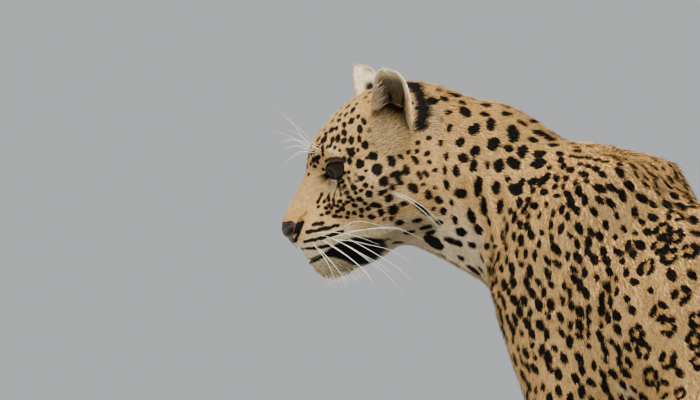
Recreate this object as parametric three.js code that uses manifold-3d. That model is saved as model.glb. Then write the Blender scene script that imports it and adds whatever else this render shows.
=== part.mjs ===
// A leopard that sits upright on the floor and looks to its left, life size, in millimetres. +Z is up,
// the chest faces -X, and the animal's left side faces -Y.
//
// The flesh is one smooth field: every muscle and bone is a rounded mass with its own ends and radii, and
// the masses run into one another. Each body part is the surface of that field inside its own territory,
// so that neighbours meet face to face across a thin cut. Ears, eyes, lids and tail have meshes of their own.
import * as THREE from "three";
import { mergeVertices } from "three/addons/utils/BufferGeometryUtils.js";
import Module from "manifold-3d";

const wasm = await Module();
wasm.setup();

const point = (x, y, z) => new THREE.Vector3(x, y, z);
const rad = THREE.MathUtils.degToRad;
const SIDES = { left: -1, right: 1 };

// Driving sizes
const WITHERS = 600; // top of the shoulder blades above the floor
const GAP = 0.3; // between parts that meet
const HEAD_TURN = 50; // degrees to the animal's left
const HEAD_DROP = 20; // degrees that the muzzle points below level
const HEAD_TILT = 2.5; // degrees that its right ear is higher than its left
const EYE_R = 14;
const EYE_APART = 64; // between the centres of the two eyes
const EAR_HEIGHT = 85;
const EAR_RADIUS = 30.5;
const EAR_TIP_RADIUS = 4;
const EAR_RIM = 4; // thickness of the plate at the tip, and more below
const TAIL_LENGTH = 700;

// Places of the joints under the coat, for the left side where there are two
const shoulderTop = point(50, 36, WITHERS - 42);
const shoulder = point(-38, 80, 452);
const elbow = point(22, 92, 312);
const wrist = point(-2, 66, 98);
const foreToes = point(-44, 62, 19);
const hip = point(316, 56, 148);
const knee = point(160, 138, 226);
const heel = point(276, 128, 25);
const hindToes = point(112, 140, 20);
const neckBase = point(-54, 0, 504);
const neckMiddle = point(-150, -24, 558);
const betweenEyes = point(-278.5, -129, 577);

// The field of masses

// Two distances joined with a fillet about as wide as `soft`.
function blend(a, b, soft) {
  const h = Math.max(soft - Math.abs(a - b), 0) / soft;
  return Math.min(a, b) - (h * h * soft) / 4;
}

// A limb: a capsule from a to b with radii ra and rb, `flat` times as wide along `across` as it is deep.
function limb(a, b, ra, rb, soft = 24, flat = 1, across = point(0, 1, 0)) {
  const axis = b.clone().sub(a);
  const length2 = axis.lengthSq();
  const squeeze = 1 / flat - 1;
  const distance = (x, y, z) => {
    const px = x - a.x;
    const py = y - a.y;
    const pz = z - a.z;
    const t = Math.min(Math.max((px * axis.x + py * axis.y + pz * axis.z) / length2, 0), 1);
    let qx = px - axis.x * t;
    let qy = py - axis.y * t;
    let qz = pz - axis.z * t;
    const s = (qx * across.x + qy * across.y + qz * across.z) * squeeze;
    qx += across.x * s;
    qy += across.y * s;
    qz += across.z * s;
    return Math.hypot(qx, qy, qz) - (ra + (rb - ra) * t);
  };
  return { distance, soft };
}

// A lump: an ellipsoid with its radii along the three axes, turned by Euler angles in degrees.
function lump(centre, radii, soft = 24, turn = [0, 0, 0]) {
  const back = new THREE.Matrix4()
    .makeRotationFromEuler(new THREE.Euler(rad(turn[0]), rad(turn[1]), rad(turn[2])))
    .invert().elements;
  const distance = (x, y, z) => {
    const px = x - centre.x;
    const py = y - centre.y;
    const pz = z - centre.z;
    const qx = (back[0] * px + back[4] * py + back[8] * pz) / radii[0];
    const qy = (back[1] * px + back[5] * py + back[9] * pz) / radii[1];
    const qz = (back[2] * px + back[6] * py + back[10] * pz) / radii[2];
    const near = Math.hypot(qx, qy, qz);
    const slope = Math.hypot(qx / radii[0], qy / radii[1], qz / radii[2]);
    return slope > 1e-9 ? (near * (near - 1)) / slope : -Math.min(...radii);
  };
  return { distance, soft };
}

// A hollow is a mass that is taken away.
const hollow = (mass) => ({ ...mass, hollow: true });

function fieldOf(masses) {
  return (x, y, z) => {
    let d = 1e6;
    for (const m of masses)
      d = m.hollow ? -blend(-d, m.distance(x, y, z), m.soft) : blend(d, m.distance(x, y, z), m.soft);
    return d;
  };
}

// The same field seen from a frame of its own, such as the head's.
function placed(field, frame) {
  const e = frame.clone().invert().elements;
  return (x, y, z) =>
    field(
      e[0] * x + e[4] * y + e[8] * z + e[12],
      e[1] * x + e[5] * y + e[9] * z + e[13],
      e[2] * x + e[6] * y + e[10] * z + e[14],
    );
}

const mirrored = (p, side) => point(p.x, side * p.y, p.z);

// The head in its own frame: X forward, Y to its left, Z up, with its origin midway between the eyes
const headForward = point(
  -Math.cos(rad(HEAD_TURN)) * Math.cos(rad(HEAD_DROP)),
  -Math.sin(rad(HEAD_TURN)) * Math.cos(rad(HEAD_DROP)),
  -Math.sin(rad(HEAD_DROP)),
);
const headLeft = point(Math.sin(rad(HEAD_TURN)), -Math.cos(rad(HEAD_TURN)), 0)
  .applyAxisAngle(headForward, -rad(HEAD_TILT));
const headUp = headForward.clone().cross(headLeft);
const headFrame = new THREE.Matrix4().makeBasis(headForward, headLeft, headUp).setPosition(betweenEyes);
const onHead = (x, y, z) => point(x, y, z).applyMatrix4(headFrame);

// The head without the lower jaw, and the lower jaw
function skullMasses() {
  const masses = [
    lump(point(-56, 0, 12), [60, 54, 51], 20), // cranium
    lump(point(-16, 0, 12), [40, 38, 32], 16), // forehead
    limb(point(4, 0, 0), point(48, 0, -34), 21, 16, 12), // bridge of the nose
    lump(point(57, 0, -45), [17, 20, 18], 8), // tip of the nose
    limb(point(22, 0, -44), point(46, 0, -62), 28, 20, 12), // core of the muzzle
    lump(point(6, 0, -72), [46, 24, 20], 12), // palate
    lump(point(50, 0, -67), [16, 11, 14], 8), // groove of the lip
    lump(point(-80, 0, -54), [48, 46, 50], 24), // throat
  ];
  for (const side of [-1, 1])
    masses.push(
      lump(point(41, side * 20, -61), [27, 19, 21], 6, [0, 8, side * 12]), // whisker pad
      limb(point(6, side * 26, -32), point(36, side * 17, -52), 15, 16, 14), // upper jaw
      limb(point(34, side * 24, -66), point(-20, side * 36, -72), 14, 23, 10), // lip
      lump(point(0, side * 30, 19), [16, 13, 9], 9, [0, 25, side * 18]), // brow
      limb(point(3, side * 35, -33), point(-34, side * 50, -25), 15, 24, 14), // cheekbone
      lump(point(-12, side * 43, 2), [15, 10, 14], 12), // temple
      lump(point(1, side * 38, -15), [13, 12, 9], 10), // below the eye
      lump(point(-46, side * 43, -46), [44, 31, 43], 18), // cheek
      lump(point(-70, side * 46, 14), [26, 19, 24], 14), // root of the ear
      hollow(lump(point(22, side * 49, 1), [14, 12, 12], 8, [0, 0, side * 30])), // socket
      hollow(lump(point(-53, side * 66, 28), [13, 12, 15], 8)), // hollow of the ear
    );
  return masses;
}

function jawMasses() {
  const masses = [
    lump(point(38, 0, -97), [25, 21, 20], 12), // chin
    lump(point(44, 0, -86), [18, 19, 9], 6), // lower lip
    lump(point(0, 0, -100), [40, 24, 16], 14), // floor of the mouth
  ];
  for (const side of [-1, 1])
    masses.push(limb(point(30, side * 14, -94), point(-62, side * 34, -72), 15, 25, 14));
  return masses;
}

function neckMasses() {
  return [
    limb(onHead(-76, 0, -22), neckMiddle, 78, 86, 40, 0.76, headLeft),
    limb(neckMiddle, neckBase, 86, 100, 40, 0.8),
    lump(onHead(-106, 0, 10), [56, 48, 50], 30), // nape
  ];
}

function trunkMasses() {
  return [
    limb(point(16, 0, 446), point(128, 0, 392), 106, 110, 50, 0.86), // rib cage
    limb(point(128, 0, 392), point(246, 0, 246), 106, 100, 50, 0.86), // loin
    limb(point(246, 0, 246), point(306, 0, 128), 100, 98, 56, 0.98), // pelvis
    limb(point(0, 0, 566), point(150, 0, 488), 34, 32, 44, 1.3), // ridge of the back
    lump(point(-58, 0, 420), [58, 60, 88], 36), // breast
    lump(point(330, 0, 62), [82, 92, 64], 30), // rump on the floor
  ];
}

function forelegMasses(side) {
  const at = (x, y, z) => point(x, side * y, z);
  const masses = [
    limb(mirrored(shoulderTop, side), at(-10, 74, 494), 42, 54, 30, 0.7), // shoulder blade
    limb(mirrored(shoulder, side), at(2, 88, 360), 52, 48, 24, 0.8), // upper arm
    limb(at(42, 76, 430), mirrored(elbow, side), 54, 36, 24, 0.62), // triceps
    limb(mirrored(elbow, side), at(6, 76, 200), 44, 32, 18), // forearm
    limb(at(6, 76, 200), mirrored(wrist, side), 32, 29, 16),
    limb(mirrored(wrist, side), at(-24, 63, 36), 29, 29, 14, 1.15), // metacarpus
    lump(at(-28, 62, 12), [22, 26, 14], 8), // pad of the paw
  ];
  return [...masses, ...toeMasses(mirrored(foreToes, side), 17)];
}

function hindlegMasses(side) {
  const at = (x, y, z) => point(x, side * y, z);
  const masses = [
    limb(mirrored(hip, side), mirrored(knee, side), 88, 54, 58, 0.64), // thigh
    limb(at(178, 120, 236), at(200, 78, 318), 38, 44, 44, 0.6), // fold of the flank
    limb(at(286, 92, 88), at(206, 124, 128), 76, 62, 40, 0.68), // back of the thigh
    limb(mirrored(knee, side), mirrored(heel, side), 48, 27, 28, 0.8), // shank
    limb(mirrored(heel, side), at(150, 134, 27), 27, 26, 18, 1.08), // foot
    lump(at(130, 136, 12), [24, 24, 14], 8), // pad of the paw
  ];
  return [...masses, ...toeMasses(mirrored(hindToes, side), 16)];
}

// Four toes side by side, the middle pair furthest forward.
function toeMasses(middle, r) {
  const masses = [];
  for (let i = 0; i < 4; i++) {
    const across = (i - 1.5) * r * 1.14;
    const reach = i === 1 || i === 2 ? 26 : 14;
    const knuckle = point(middle.x + 10, middle.y + across * 0.82, middle.z + 10);
    const tip = point(middle.x - reach, middle.y + across, middle.z - 8);
    masses.push(limb(knuckle, tip, r, r * 0.82, 4));
  }
  return masses;
}

const skullField = placed(fieldOf(skullMasses()), headFrame);
const jawField = placed(fieldOf(jawMasses()), headFrame);
const bodyField = fieldOf([
  ...trunkMasses(),
  ...forelegMasses(SIDES.left),
  ...forelegMasses(SIDES.right),
  ...hindlegMasses(SIDES.left),
  ...hindlegMasses(SIDES.right),
]);
const neckField = fieldOf(neckMasses());
function flesh(x, y, z) {
  const head = blend(skullField(x, y, z), jawField(x, y, z), 5);
  return blend(blend(bodyField(x, y, z), neckField(x, y, z), 44), head, 26);
}

// The surface of a field on a grid, as one closed mesh. Each cell that the surface crosses gets a vertex
// for each sheet that passes through it, and each grid edge that it crosses gets a face.
const NEAR = 3; // how far a vertex may be moved onto the surface
const CORNERS = [0, 1, 2, 3, 4, 5, 6, 7].map((c) => [c & 1, (c >> 1) & 1, c >> 2]);
const EDGES = [];
for (const axis of [0, 1, 2])
  for (let c = 0; c < 8; c++) if (!CORNERS[c][axis]) EDGES.push([c, c | (1 << axis), axis]);
const CELL_FACES = [];
for (const axis of [0, 1, 2])
  for (const end of [0, 1])
    CELL_FACES.push(
      EDGES.map((_, i) => i).filter((i) => EDGES[i].slice(0, 2).every((c) => CORNERS[c][axis] === end)),
    );

// Grid lines through the given stops, at about the given size from each stop to the next.
function lines(stops, sizes) {
  const places = [stops[0]];
  sizes.forEach((size, n) => {
    const [from, to] = [stops[n], stops[n + 1]];
    const count = Math.max(1, Math.round((to - from) / size));
    for (let i = 1; i <= count; i++) places.push(from + ((to - from) * i) / count);
  });
  return places;
}
const evenly = (from, to, size) => lines([from, to], [size]);

// The sheets in one cell: for each crossed edge, the first edge of its sheet.
function sheetsOf(inside) {
  const crossed = EDGES.map(([a, b]) => inside[a] !== inside[b]);
  const sheet = EDGES.map((_, i) => i);
  const root = (i) => (sheet[i] === i ? i : root(sheet[i]));
  const join = (i, j) => (sheet[root(i)] = root(j));
  for (const face of CELL_FACES) {
    const here = face.filter((i) => crossed[i]);
    if (here.length === 2) join(here[0], here[1]);
    if (here.length === 4)
      for (let c = 0; c < 8; c++) {
        const at = here.filter((i) => EDGES[i][0] === c || EDGES[i][1] === c);
        if (inside[c] && at.length === 2) join(at[0], at[1]);
      }
  }
  return EDGES.map((_, i) => (crossed[i] ? root(i) : -1));
}

function surfaceOf(field, frame, grid) {
  const [nx, ny, nz] = grid.map((g) => g.length);
  const own = placed(field, frame.clone().invert());
  const value = new Float32Array(nx * ny * nz);
  const index = (i, j, k) => (k * ny + j) * nx + i;
  for (let k = 0; k < nz; k++)
    for (let j = 0; j < ny; j++)
      for (let i = 0; i < nx; i++) {
        const edge = !i || !j || !k || i === nx - 1 || j === ny - 1 || k === nz - 1;
        const d = own(grid[0][i], grid[1][j], grid[2][k]);
        value[index(i, j, k)] = edge ? Math.max(d, 0.5) : d || 1e-6;
      }
  const vertices = [];
  const vertexAt = new Map();
  for (let k = 0; k < nz - 1; k++)
    for (let j = 0; j < ny - 1; j++)
      for (let i = 0; i < nx - 1; i++) {
        const values = CORNERS.map(([a, b, c]) => value[index(i + a, j + b, k + c)]);
        const inside = values.map((d) => d < 0);
        if (inside.every((x) => x === inside[0])) continue;
        const sheets = sheetsOf(inside);
        const ids = new Map();
        for (const s of new Set(sheets.filter((x) => x >= 0))) {
          const sum = [0, 0, 0];
          let count = 0;
          sheets.forEach((x, e) => {
            if (x !== s) return;
            const [a, b] = EDGES[e];
            const t = values[a] / (values[a] - values[b]);
            [i, j, k].forEach((n, axis) => {
              const from = grid[axis][n + CORNERS[a][axis]];
              const to = grid[axis][n + CORNERS[b][axis]];
              sum[axis] += from + (to - from) * t;
            });
            count++;
          });
          ids.set(s, vertices.length / 3);
          vertices.push(...onSurface(own, sum.map((x) => x / count)));
        }
        vertexAt.set(index(i, j, k), sheets.map((s) => (s < 0 ? -1 : ids.get(s))));
      }
  const faces = facesOf(value, index, [nx, ny, nz], vertexAt, vertices);
  return closedMesh(vertices, faces).applyMatrix4(frame);
}

// Moves a vertex a little along the slope, onto the true surface.
function onSurface(field, p) {
  const reach = 0.5;
  for (let turn = 0; turn < 2; turn++) {
    const d = field(...p);
    if (Math.abs(d) > NEAR) return p;
    const slope = [0, 1, 2].map((axis) => {
      const ahead = p.map((x, i) => (i === axis ? x + reach : x));
      const behind = p.map((x, i) => (i === axis ? x - reach : x));
      return (field(...ahead) - field(...behind)) / (2 * reach);
    });
    const steep = slope.reduce((s, x) => s + x * x, 1e-9);
    p = p.map((x, i) => x - (d * slope[i]) / Math.max(steep, 0.3));
  }
  return p;
}

function facesOf(value, index, [nx, ny, nz], vertexAt, vertices) {
  const faces = [];
  const around = [
    [[0, 0, 0], [0, -1, 0], [0, -1, -1], [0, 0, -1]],
    [[0, 0, 0], [0, 0, -1], [-1, 0, -1], [-1, 0, 0]],
    [[0, 0, 0], [-1, 0, 0], [-1, -1, 0], [0, -1, 0]],
  ];
  const apart = (a, b) =>
    Math.hypot(...[0, 1, 2].map((k) => vertices[3 * a + k] - vertices[3 * b + k]));
  for (let k = 0; k < nz - 1; k++)
    for (let j = 0; j < ny - 1; j++)
      for (let i = 0; i < nx - 1; i++)
        for (const axis of [0, 1, 2]) {
          const next = index(i + (axis === 0), j + (axis === 1), k + (axis === 2));
          const here = value[index(i, j, k)] < 0;
          if (here === value[next] < 0) continue;
          let ring = around[axis].map(([a, b, c]) => {
            const corner = (a ? 1 : 0) | (b ? 2 : 0) | (c ? 4 : 0);
            const edge = EDGES.findIndex((e) => e[0] === corner && e[2] === axis);
            return vertexAt.get(index(i + a, j + b, k + c))[edge];
          });
          if (!here) ring = ring.reverse();
          if (apart(ring[0], ring[2]) < apart(ring[1], ring[3]))
            faces.push(ring[0], ring[1], ring[2], ring[0], ring[2], ring[3]);
          else faces.push(ring[1], ring[2], ring[3], ring[1], ring[3], ring[0]);
        }
  return faces;
}

function closedMesh(vertices, faces) {
  const g = new THREE.BufferGeometry();
  g.setAttribute("position", new THREE.Float32BufferAttribute(vertices, 3));
  g.setIndex(faces);
  return g;
}

// Joining and cutting
function solid(geometry) {
  const bare = geometry.clone();
  bare.deleteAttribute("normal");
  bare.deleteAttribute("uv");
  const merged = mergeVertices(bare, 1e-3);
  return new wasm.Manifold(
    new wasm.Mesh({
      numProp: 3,
      vertProperties: merged.attributes.position.array,
      triVerts: new Uint32Array(merged.index.array),
    }),
  );
}

function largest(made) {
  const pieces = made.decompose();
  return pieces.reduce((a, b) => (b.volume() > a.volume() ? b : a));
}

function geometryOf(made) {
  const mesh = made.getMesh();
  const g = new THREE.BufferGeometry();
  g.setAttribute("position", new THREE.Float32BufferAttribute(mesh.vertProperties, 3));
  g.setIndex(new THREE.BufferAttribute(mesh.triVerts, 1));
  return g;
}

// A box from corner to corner in a frame, grown by `more` on every side.
function box(low, high, frame = new THREE.Matrix4(), more = 0) {
  const size = high.map((h, i) => h - low[i] + 2 * more);
  const g = new THREE.BoxGeometry(...size);
  g.translate(...low.map((l, i) => (l + high[i]) / 2));
  return solid(g.applyMatrix4(frame));
}

// A body lofted through rings of points. Each end is closed by a strip across its ring.
function loft(rings) {
  const n = rings[0].length;
  const faces = [];
  for (let r = 0; r + 1 < rings.length; r++)
    for (let i = 0; i < n; i++) {
      const j = (i + 1) % n;
      const [a, b, c, d] = [r * n + i, r * n + j, (r + 1) * n + j, (r + 1) * n + i];
      faces.push(a, b, c, a, c, d);
    }
  const end = (rings.length - 1) * n;
  for (let i = 0; i + 1 < n / 2; i++) {
    const [a, b, c, d] = [i, i + 1, n - 2 - i, n - 1 - i];
    faces.push(a, c, b, a, d, c);
    faces.push(end + a, end + b, end + c, end + a, end + c, end + d);
  }
  return closedMesh(rings.flat().flatMap((p) => p.toArray()), faces);
}

// Materials
const finish = (color, roughness) => new THREE.MeshStandardMaterial({ color, roughness, metalness: 0 });
const coat = finish("#c79a5c", 0.85);
const leather = finish("#3a2622", 0.5);
const eyeball = finish("#8c8445", 0.08);

const leopard = new THREE.Group();
function add(name, made, material) {
  const mesh = new THREE.Mesh(geometryOf(largest(made)), material);
  mesh.name = name;
  leopard.add(mesh);
}

const FAR = 900;
const identity = new THREE.Matrix4();
const floor = box([-FAR, -FAR, -FAR], [FAR, FAR, 0]);

// The head lies in front of a plane behind the ears, and the neck in front of one from withers to breast.
const napePlane = new THREE.Matrix4()
  .multiply(headFrame)
  .multiply(new THREE.Matrix4().makeRotationY(rad(-16)).setPosition(-103, 0, 0));
const neckPlane = new THREE.Matrix4().makeRotationY(rad(30)).setPosition(-74, 0, 520);
const ahead = (frame, more = 0) => box([0, -FAR, -FAR], [FAR, FAR, FAR], frame, more);
const behind = (frame, more = 0) => box([-FAR, -FAR, -FAR], [0, FAR, FAR], frame, more);

// Head, lower jaw and nose
const headGrid = [
  lines([-150, -24, 88], [12, 7]),
  evenly(-100, 100, 8.7),
  lines([-150, -34, 90], [7.5, 11]),
];
const headSkin = (more) => solid(surfaceOf((x, y, z) => flesh(x, y, z) - more, headFrame, headGrid));
let head = headSkin(0).intersect(ahead(napePlane));

// A prism across the head with the given outline in profile
function profilePrism(outline, width) {
  const shape = new THREE.Shape(outline.map(([f, u]) => new THREE.Vector2(f, u)));
  const g = new THREE.ExtrudeGeometry(shape, { depth: 2 * width, bevelEnabled: false, curveSegments: 8 });
  g.translate(0, 0, -width);
  return g.applyMatrix4(new THREE.Matrix4().makeRotationX(Math.PI / 2));
}
const mouthLine = [[100, -88], [58, -85], [47, -83], [35, -79], [18, -76], [-2, -80], [-20, -90]];
function jawOutline(more) {
  const lip = mouthLine.map(([f, u]) => [f - more / 2, u + more]);
  return [...lip, [-36 - more, -160], [100, -160]];
}
const jawSpace = (more) => solid(profilePrism(jawOutline(more), 90).applyMatrix4(headFrame));
add("jaw", head.intersect(jawSpace(0)), coat);
head = head.subtract(jawSpace(GAP));

// The nose pad is wide over the nostrils and narrows to the groove in the lip.
function padSpace(more) {
  const outline = [[0, -33], [12, -34], [19, -40], [19, -48], [11, -55], [5, -61], [2.5, -68]];
  const half = new THREE.CatmullRomCurve3(outline.map(([s, u]) => point(s, u, 0))).getPoints(12);
  const centre = -48;
  const wider = 1 + more / 15;
  const taller = 1 + more / 12;
  const grow = (p, way) => new THREE.Vector2(way * p.x * wider, centre + (p.y - centre) * taller);
  const ring = [...half.map((p) => grow(p, 1)), ...half.slice(1).reverse().map((p) => grow(p, -1))];
  const g = new THREE.ExtrudeGeometry(new THREE.Shape(ring), { depth: 60, bevelEnabled: false });
  g.translate(0, 0, 54 - more);
  const upright = new THREE.Matrix4().makeBasis(point(0, 1, 0), point(0, 0, 1), point(1, 0, 0));
  return solid(g.applyMatrix4(upright).applyMatrix4(headFrame));
}
const nostrils = [-1, 1].map((side) =>
  limb(point(80, side * 5, -48), point(62, side * 17, -44), 3.6, 2.8),
);
const nearestNostril = (x, y, z) => Math.min(...nostrils.map((n) => n.distance(x, y, z)));
const nostrilField = placed(nearestNostril, headFrame);
const padFlesh = (x, y, z) => Math.max(flesh(x, y, z), -nostrilField(x, y, z));
const padGrid = [evenly(46, 86, 4), evenly(-25, 25, 3.5), evenly(-76, -26, 4)];
add("nose", solid(surfaceOf(padFlesh, headFrame, padGrid)).intersect(padSpace(0)), leather);
head = head.subtract(padSpace(GAP));

// Eyes and lids
for (const [name, side] of Object.entries(SIDES)) {
  const s = -side; // the animal's left is +Y of the head's frame
  const centre = onHead(-3, (s * EYE_APART) / 2, 0);
  const gaze = onHead(40, s * (EYE_APART / 2 + 30), -3).sub(centre).normalize();
  const across = headUp.clone().cross(gaze).normalize();
  const above = gaze.clone().cross(across);
  const eyeFrame = new THREE.Matrix4().makeBasis(across, above, gaze).setPosition(centre);
  const ball = (r) => solid(new THREE.SphereGeometry(r, 14, 9).applyMatrix4(eyeFrame));
  const lid = new THREE.SphereGeometry(EYE_R + 2.5, 16, 10).applyMatrix4(eyeFrame);
  const almond = new THREE.Shape();
  almond.moveTo(-s * 14, -4); // the corner by the nose, lower than the outer one
  almond.quadraticCurveTo(-s * 3, 14, s * 13.5, 2.5);
  almond.quadraticCurveTo(s * 2, -12, -s * 14, -4);
  const slit = new THREE.ExtrudeGeometry(almond, { depth: 40, bevelEnabled: false, curveSegments: 5 });
  head = head.add(solid(lid)).subtract(ball(EYE_R + GAP)).subtract(solid(slit.applyMatrix4(eyeFrame)));
  add("eye_" + name, ball(EYE_R), eyeball);
}
add("head", head, coat);

// Ears: a curved plate that rises from the head, open to the front and the side
const headRound = headSkin(GAP);
function earRings(s) {
  const root = point(-70, s * 46, 16);
  const up = point(-0.15, s * 0.42, 0.88).normalize();
  const open = point(0.64, s * 0.78, 0.1);
  open.addScaledVector(up, -open.dot(up)).normalize();
  const across = up.clone().cross(open);
  const rings = [];
  for (let j = 0; j <= 9; j++) {
    const b = j / 9;
    const height = EAR_HEIGHT * Math.sin((b * Math.PI) / 2) + 6 * b;
    const round = Math.cos((b * Math.PI) / 2) ** 0.58 * (1 - 0.22 * (1 - b));
    const radius = EAR_TIP_RADIUS + (EAR_RADIUS - EAR_TIP_RADIUS) * round;
    const wrap = rad(112 - 50 * b);
    const thick = EAR_RIM + 4.5 * (1 - b);
    const ring = [];
    const place = (angle, r) =>
      root.clone()
        .addScaledVector(up, height - 10)
        .addScaledVector(across, r * Math.sin(angle))
        .addScaledVector(open, -r * Math.cos(angle) * 0.8 + 8 * b * b);
    for (let i = 0; i <= 10; i++) ring.push(place(wrap * (i / 5 - 1), radius));
    for (let i = 10; i >= 0; i--) ring.push(place(wrap * 0.94 * (i / 5 - 1), radius - thick));
    rings.push(ring.reverse());
  }
  return rings;
}
for (const [name, side] of Object.entries(SIDES)) {
  const ear = solid(loft(earRings(-side)).applyMatrix4(headFrame));
  add("ear_" + name, ear.subtract(headRound), coat);
}

// Neck
const neckGrid = [evenly(-330, 40, 23), evenly(-200, 200, 22), evenly(-220, 200, 22)];
const neck = solid(surfaceOf(flesh, neckPlane, neckGrid));
add("neck", neck.subtract(ahead(napePlane, GAP)).intersect(behind(neckPlane)), coat);

// Paws and forearms, each in a box, with its own grid
const limbs = {
  forearm: { low: [-90, 34, 74], high: [80, 200, 292], cell: [15, 15, 28] },
  forepaw: { low: [-130, 8, -8], high: [78, 200, 74 - GAP], cell: [11.5, 10, 11.5] },
  hindfoot: { low: [40, 84, -8], high: [232, 220, 60], cell: [14, 11, 11.5] },
};
function onSide({ low, high }, side) {
  return side > 0 ? [low, high] : [[low[0], -high[1], low[2]], [high[0], -low[1], high[2]]];
}
const bodyGrid = [
  lines([-180, 90, 250, 460], [30, 24, 30]),
  lines([-200, -84, 84, 200], [21.5, 29, 21.5]),
  lines([-25, 240, 640], [24.5, 31]),
];
let body = solid(surfaceOf(flesh, identity, bodyGrid)).subtract(behind(neckPlane, GAP)).subtract(floor);
for (const [name, { low, high, cell }] of Object.entries(limbs))
  for (const [sideName, side] of Object.entries(SIDES)) {
    const territory = onSide({ low, high }, side);
    const margin = 10;
    const grid = [0, 1, 2].map((k) => evenly(territory[0][k] - margin, territory[1][k] + margin, cell[k]));
    const skin = solid(surfaceOf(flesh, identity, grid));
    add(name + "_" + sideName, skin.intersect(box(...territory)).subtract(floor), coat);
    body = body.subtract(box(...territory, identity, GAP));
  }

// A block at the side of the body, from the depth `inner` outward, with a smooth outline in profile
function sideBlock(outline, inner, side, more) {
  const path = new THREE.CatmullRomCurve3(outline.map(([x, z]) => point(x, z, 0)), true);
  const middle = new THREE.Box3().setFromPoints(path.getPoints(40)).getCenter(point(0, 0, 0));
  const grow = 1 + more / 70;
  const edge = path.getPoints(36).slice(0, -1).map((p) => p.sub(middle).multiplyScalar(grow).add(middle));
  const shape = new THREE.Shape(edge.map((p) => new THREE.Vector2(p.x, p.y)));
  const depth = 200 + more;
  const g = new THREE.ExtrudeGeometry(shape, { depth, bevelEnabled: false });
  g.translate(0, 0, side === SIDES.left ? inner - more : more - inner - depth);
  return solid(g.applyMatrix4(new THREE.Matrix4().makeRotationX(Math.PI / 2)));
}
const armOutline = [
  [-70, 262], [-125, 390], [-74, 500], [16, 562], [76, 520], [94, 400], [84, 268], [6, 240],
];
const thighOutline = [
  [236, -30], [100, 90], [96, 230], [176, 300], [300, 270], [392, 170], [430, 20], [380, -40],
];
for (const [sideName, side] of Object.entries(SIDES))
  for (const [name, outline, inner] of [["upper_arm", armOutline, 44], ["thigh", thighOutline, 54]]) {
    add(name + "_" + sideName, body.intersect(sideBlock(outline, inner, side, 0)), coat);
    body = body.subtract(sideBlock(outline, inner, side, GAP));
  }

// Tail: round lengths along one curve on the floor, with a raised tip. The root is set into the rump.
const tailCurve = new THREE.CatmullRomCurve3(
  [
    [368, 0, 92], [416, 2, 64], [466, 0, 34], [520, -12, 20], [572, -48, 15], [604, -105, 15],
    [606, -170, 15], [578, -232, 15], [528, -280, 15], [468, -306, 15], [410, -318, 20], [356, -330, 36],
    [318, -346, 58],
  ].map(([x, y, z]) => point(x, y, z)),
);
const TAIL_PARTS = 5;
const TAIL_SIDES = 10;
function tailRadius(t) {
  const root = 16 * Math.max(0, 1 - t / 0.16) ** 1.4;
  const tip = 8 * Math.max(0, (t - 0.96) / 0.04) ** 2;
  return 24 + root - 7 * t ** 2 - tip;
}
function tailPart(part, more) {
  const from = part / TAIL_PARTS + (part ? GAP / 2 / TAIL_LENGTH : 0);
  const to = (part + 1) / TAIL_PARTS - GAP / 2 / TAIL_LENGTH;
  const rings = [];
  for (let j = 0; j <= 6; j++) {
    const t = from + ((to - from) * j) / 6;
    const centre = tailCurve.getPointAt(t);
    const along = tailCurve.getTangentAt(t);
    centre.z = Math.max(centre.z, tailRadius(t) - 1.2);
    if (j === 0) centre.addScaledVector(along, -more);
    const side = point(0, 0, 1).cross(along).normalize();
    const up = along.clone().cross(side);
    const ring = [];
    for (let i = 0; i < TAIL_SIDES; i++) {
      const angle = (i / TAIL_SIDES) * 2 * Math.PI;
      const out = side.clone().multiplyScalar(Math.cos(angle)).addScaledVector(up, Math.sin(angle));
      ring.push(centre.clone().addScaledVector(out, tailRadius(t) + more));
    }
    rings.push(ring);
  }
  return solid(loft(rings)).subtract(floor);
}
for (let part = 0; part < TAIL_PARTS; part++) add("tail_" + (part + 1), tailPart(part, 0), coat);
body = body.subtract(tailPart(0, GAP));

const waist = new THREE.Matrix4().makeRotationY(rad(52)).setPosition(186, 0, 330);
add("chest", body.intersect(behind(waist)), coat);
add("hindquarters", body.subtract(behind(waist, GAP)), coat);

// The origin lies under the middle of the whole model.
const bounds = new THREE.Box3().setFromObject(leopard);
const middle = bounds.getCenter(point(0, 0, 0));
leopard.position.set(-middle.x, -middle.y, -bounds.min.z);

export default leopard;
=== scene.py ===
# A sitting leopard that looks to its left: one skin over the flesh, eyes, nose, claws, a coat of fine tufts
# and whiskers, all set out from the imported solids. Metres, +Z up; the animal's left side faces -Y.
import math

import bmesh
import bpy
import numpy as np
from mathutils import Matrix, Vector
from mathutils.bvhtree import BVHTree
from mathutils.kdtree import KDTree


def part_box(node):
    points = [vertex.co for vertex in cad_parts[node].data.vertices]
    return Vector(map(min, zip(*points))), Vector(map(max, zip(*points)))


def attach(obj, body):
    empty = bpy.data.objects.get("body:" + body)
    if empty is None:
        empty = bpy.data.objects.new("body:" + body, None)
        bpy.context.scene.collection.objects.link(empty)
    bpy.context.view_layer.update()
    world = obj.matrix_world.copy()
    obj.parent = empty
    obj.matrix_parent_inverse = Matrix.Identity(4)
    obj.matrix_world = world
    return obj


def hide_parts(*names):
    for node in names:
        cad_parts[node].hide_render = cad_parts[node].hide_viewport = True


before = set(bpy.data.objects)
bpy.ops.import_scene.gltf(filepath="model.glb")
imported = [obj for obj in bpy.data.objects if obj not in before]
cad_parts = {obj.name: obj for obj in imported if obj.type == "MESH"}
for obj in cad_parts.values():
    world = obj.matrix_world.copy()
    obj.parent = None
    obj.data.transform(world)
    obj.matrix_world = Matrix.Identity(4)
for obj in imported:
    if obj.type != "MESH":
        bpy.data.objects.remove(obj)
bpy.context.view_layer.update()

random = np.random.default_rng(7)
MM = 0.001

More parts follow.
